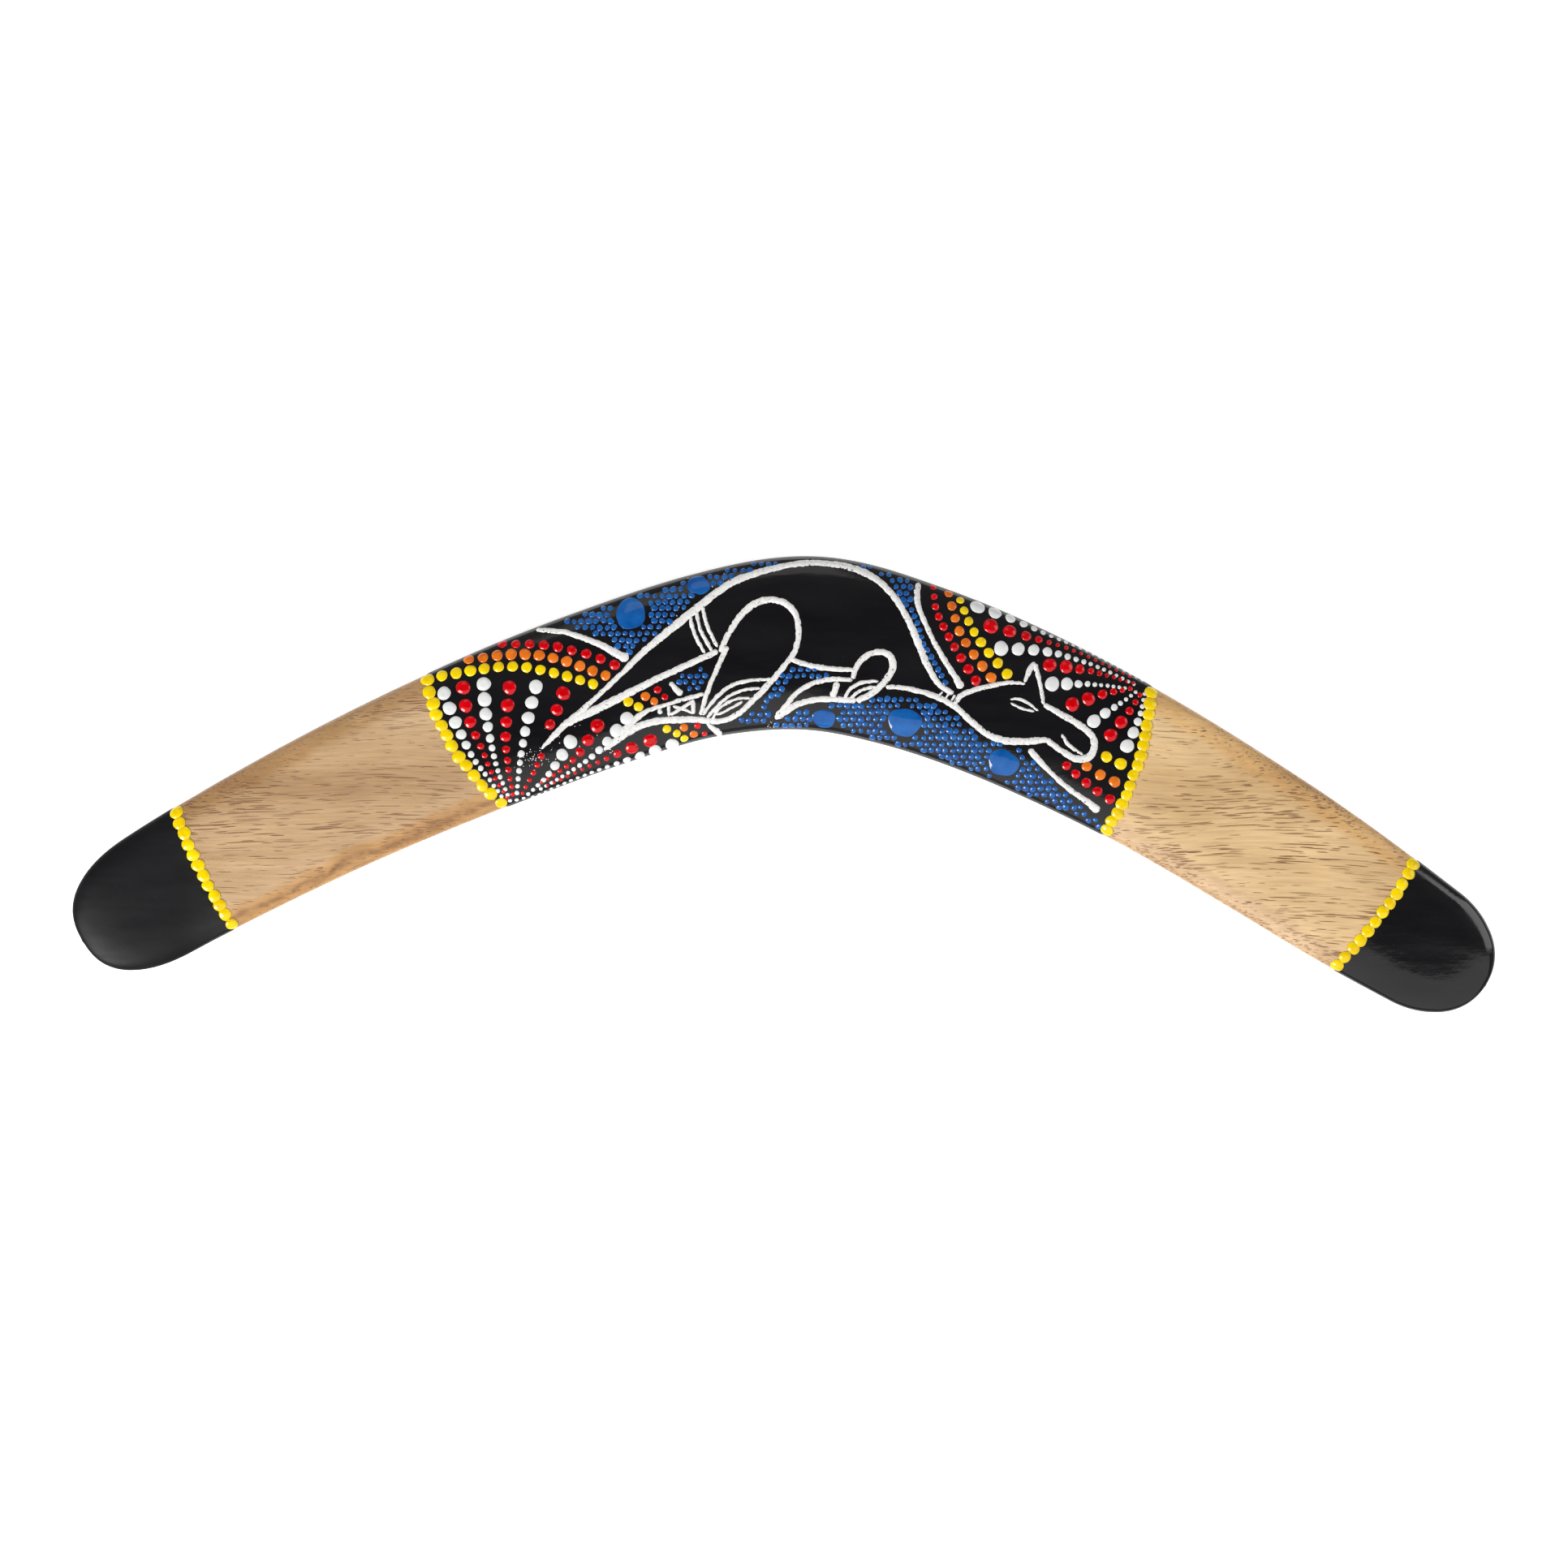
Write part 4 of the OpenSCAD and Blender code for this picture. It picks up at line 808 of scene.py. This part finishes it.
def stroke(knots, rng):
    """One brush line: a low ridge with ragged edges, bristle marks and rounded ends."""
    rough_path = along(knots, np.linspace(0, 1, 40 * len(knots)))
    run = np.concatenate([[0], np.cumsum(np.linalg.norm(np.diff(rough_path[:, :2], axis=0), axis=1))])
    count = max(8, int(run[-1] / LINE_STEP))
    spaced = np.linspace(0, run[-1], count)
    x, y, width = (np.interp(spaced, run, rough_path[:, k]) for k in range(3))
    dx, dy = np.gradient(x), np.gradient(y)
    size = np.hypot(dx, dy)
    nx, ny = -dy / size, dx / size
    from_end = np.minimum(spaced, run[-1] - spaced)
    rounding = np.sqrt(1 - (1 - np.clip(from_end / (width / 2), 0.02, 1)) ** 2)
    sides = []
    for _ in range(2):
        stray = RAGGED * jitter(rng, spaced, 0.7) + 0.5 * RAGGED * jitter(rng, spaced, 2.6)
        sides.append(np.maximum(LEAST_HALF_WIDTH, width / 2 + stray) * rounding)
    across = np.sin(np.linspace(-math.pi / 2, math.pi / 2, LINE_POINTS))
    bristles = [1 + BRISTLE * jitter(rng, spaced, 2.2) for _ in across]
    points, marks = [], []
    for i in range(count):
        full = LINE_RISE * min(1, width[i] / FULL_WIDTH) * rounding[i]
        top, feet = [], []
        for v, bristle in zip(across, bristles):
            reach = v * (sides[0] if v > 0 else sides[1])[i]
            place, normal = on_paint(x[i] + nx[i] * reach, y[i] + ny[i] * reach)
            top.append(place + normal * full * (1 - abs(v) ** 2.5) * bristle[i])
            feet.append(place - normal * LINE_FOOT)
        points += [feet[0], *top, feet[-1]]
        marks += [across[0], *across, across[-1]]
    section = LINE_POINTS + 2
    faces = quads(count, section, closed=True)
    last = (count - 1) * section
    faces += [tuple(range(section))[::-1], tuple(range(last, last + section))]
    return np.array(points), faces, marks


def build_lines(node, strokes, specks):
    """All the lines of a CAD node, with a few small specks flicked from a dry brush."""
    rng = np.random.default_rng(sum(map(ord, node)))
    parts, marks = [], []
    for knots in strokes:
        points, faces, own_marks = stroke(knots, rng)
        parts.append((points, faces))
        marks += own_marks
    for x, y, spread_x, spread_y, number in specks:
        for _ in range(number):
            place, _ = on_paint(x + rng.normal() * spread_x, y + rng.normal() * spread_y)
            speck = dome(Vector(place), rng.uniform(*SPECK_SIZES), rng)
            parts.append(speck)
            marks += [0] * len(speck[0])
    points, faces = joined(parts)
    paint = "white_line_paint"
    piece = new_piece(node + "_strokes", points, faces, PAINTS[paint], [node], marks)
    tidy(piece)
    return piece


# Places of the specks: [x, y, spread in x, spread in y, number]
BODY_SPECKS = [(-70, 7, 2.6, 2, 60), (-60, 12, 5, 3, 16), (-17, 56.5, 4, 0.8, 22), (-30, 47, 3, 2, 8)]
LEG_SPECKS = [(-50, 9.5, 1.8, 1.2, 16)]
ARM_SPECKS = [(-3.4, 16.4, 0.6, 0.8, 12)]

build_lines("divider_lines", DIVIDERS, [])
build_lines("kangaroo_body_lines", BODY_LINES, BODY_SPECKS)
build_lines("kangaroo_head_lines", HEAD_LINES, [])
build_lines("kangaroo_arm_lines", ARM_LINES, ARM_SPECKS)
build_lines("kangaroo_leg_lines", LEG_LINES, LEG_SPECKS)
build_lines("kangaroo_tail_bands", TAIL_BANDS, [])


# ---------- floor, light and picture ----------

FLOOR_SIZE = 12
# Brightness of the room by height: [sine of the elevation, grey]
ROOM = [(0.0, 0.34), (0.5, 0.14), (0.93, 0.08), (0.97, 0.02)]
# Lamps: [name, place, size, radiance], in metres
LAMPS = [
    ("front_panel", (0, -0.77, 1.04), (2.8, 1.35), 0.75),
    ("back_panel", (-0.14, 0.92, 0.96), (0.6, 0.62), 0.7),
    ("right_light", (0.85, 0.25, 0.62), (0.6, 0.6), 2.2),
    ("key", (-0.70, -0.62, 0.95), (0.52, 0.62), 17.5),
]


def build_floor():
    n = Nodes("pale_table")
    tone = n.ramp(n.noise((3, 3, 3), 2), [(0.3, (0.86, 0.86, 0.86)), (0.7, (0.88, 0.88, 0.88))])
    n.finish(tone, 0.9, None, Emission_Color=(1, 1, 1, 1), Emission_Strength=0.8)
    bpy.ops.mesh.primitive_plane_add(size=FLOOR_SIZE, location=(0, 0, 0))
    floor = bpy.context.object
    floor.name = "floor"
    floor.data.materials.append(n.material)


def soft_light(name, place, size, radiance):
    """A rectangular light at place, facing the middle of the table."""
    data = bpy.data.lights.new(name, "AREA")
    data.shape = "RECTANGLE"
    data.size, data.size_y = size
    data.energy = radiance * size[0] * size[1] * math.pi
    lamp = bpy.data.objects.new(name, data)
    lamp.location = place
    lamp.rotation_euler = (-Vector(place)).to_track_quat("-Z", "Y").to_euler()
    bpy.context.scene.collection.objects.link(lamp)


def make_world():
    """A pale room with a dark opening overhead, so that flat gloss black stays black from above."""
    world = bpy.data.worlds.new("studio")
    world.use_nodes = True
    tree = world.node_tree
    direction = tree.nodes.new("ShaderNodeTexCoord").outputs["Generated"]
    split = tree.nodes.new("ShaderNodeSeparateXYZ")
    ramp = tree.nodes.new("ShaderNodeValToRGB")
    tree.links.new(direction, split.inputs[0])
    tree.links.new(split.outputs["Z"], ramp.inputs["Fac"])
    stops = ramp.color_ramp.elements
    while len(stops) < len(ROOM):
        stops.new(0.5)
    for stop, (height, grey) in zip(stops, ROOM):
        stop.position = height
        stop.color = (grey, grey, grey, 1)
    tree.links.new(ramp.outputs["Color"], tree.nodes["Background"].inputs["Color"])
    bpy.context.scene.world = world


make_world()
build_floor()
for lamp in LAMPS:
    soft_light(*lamp)
bpy.context.scene.view_settings.view_transform = "Standard"
bpy.context.scene.view_settings.look = "None"
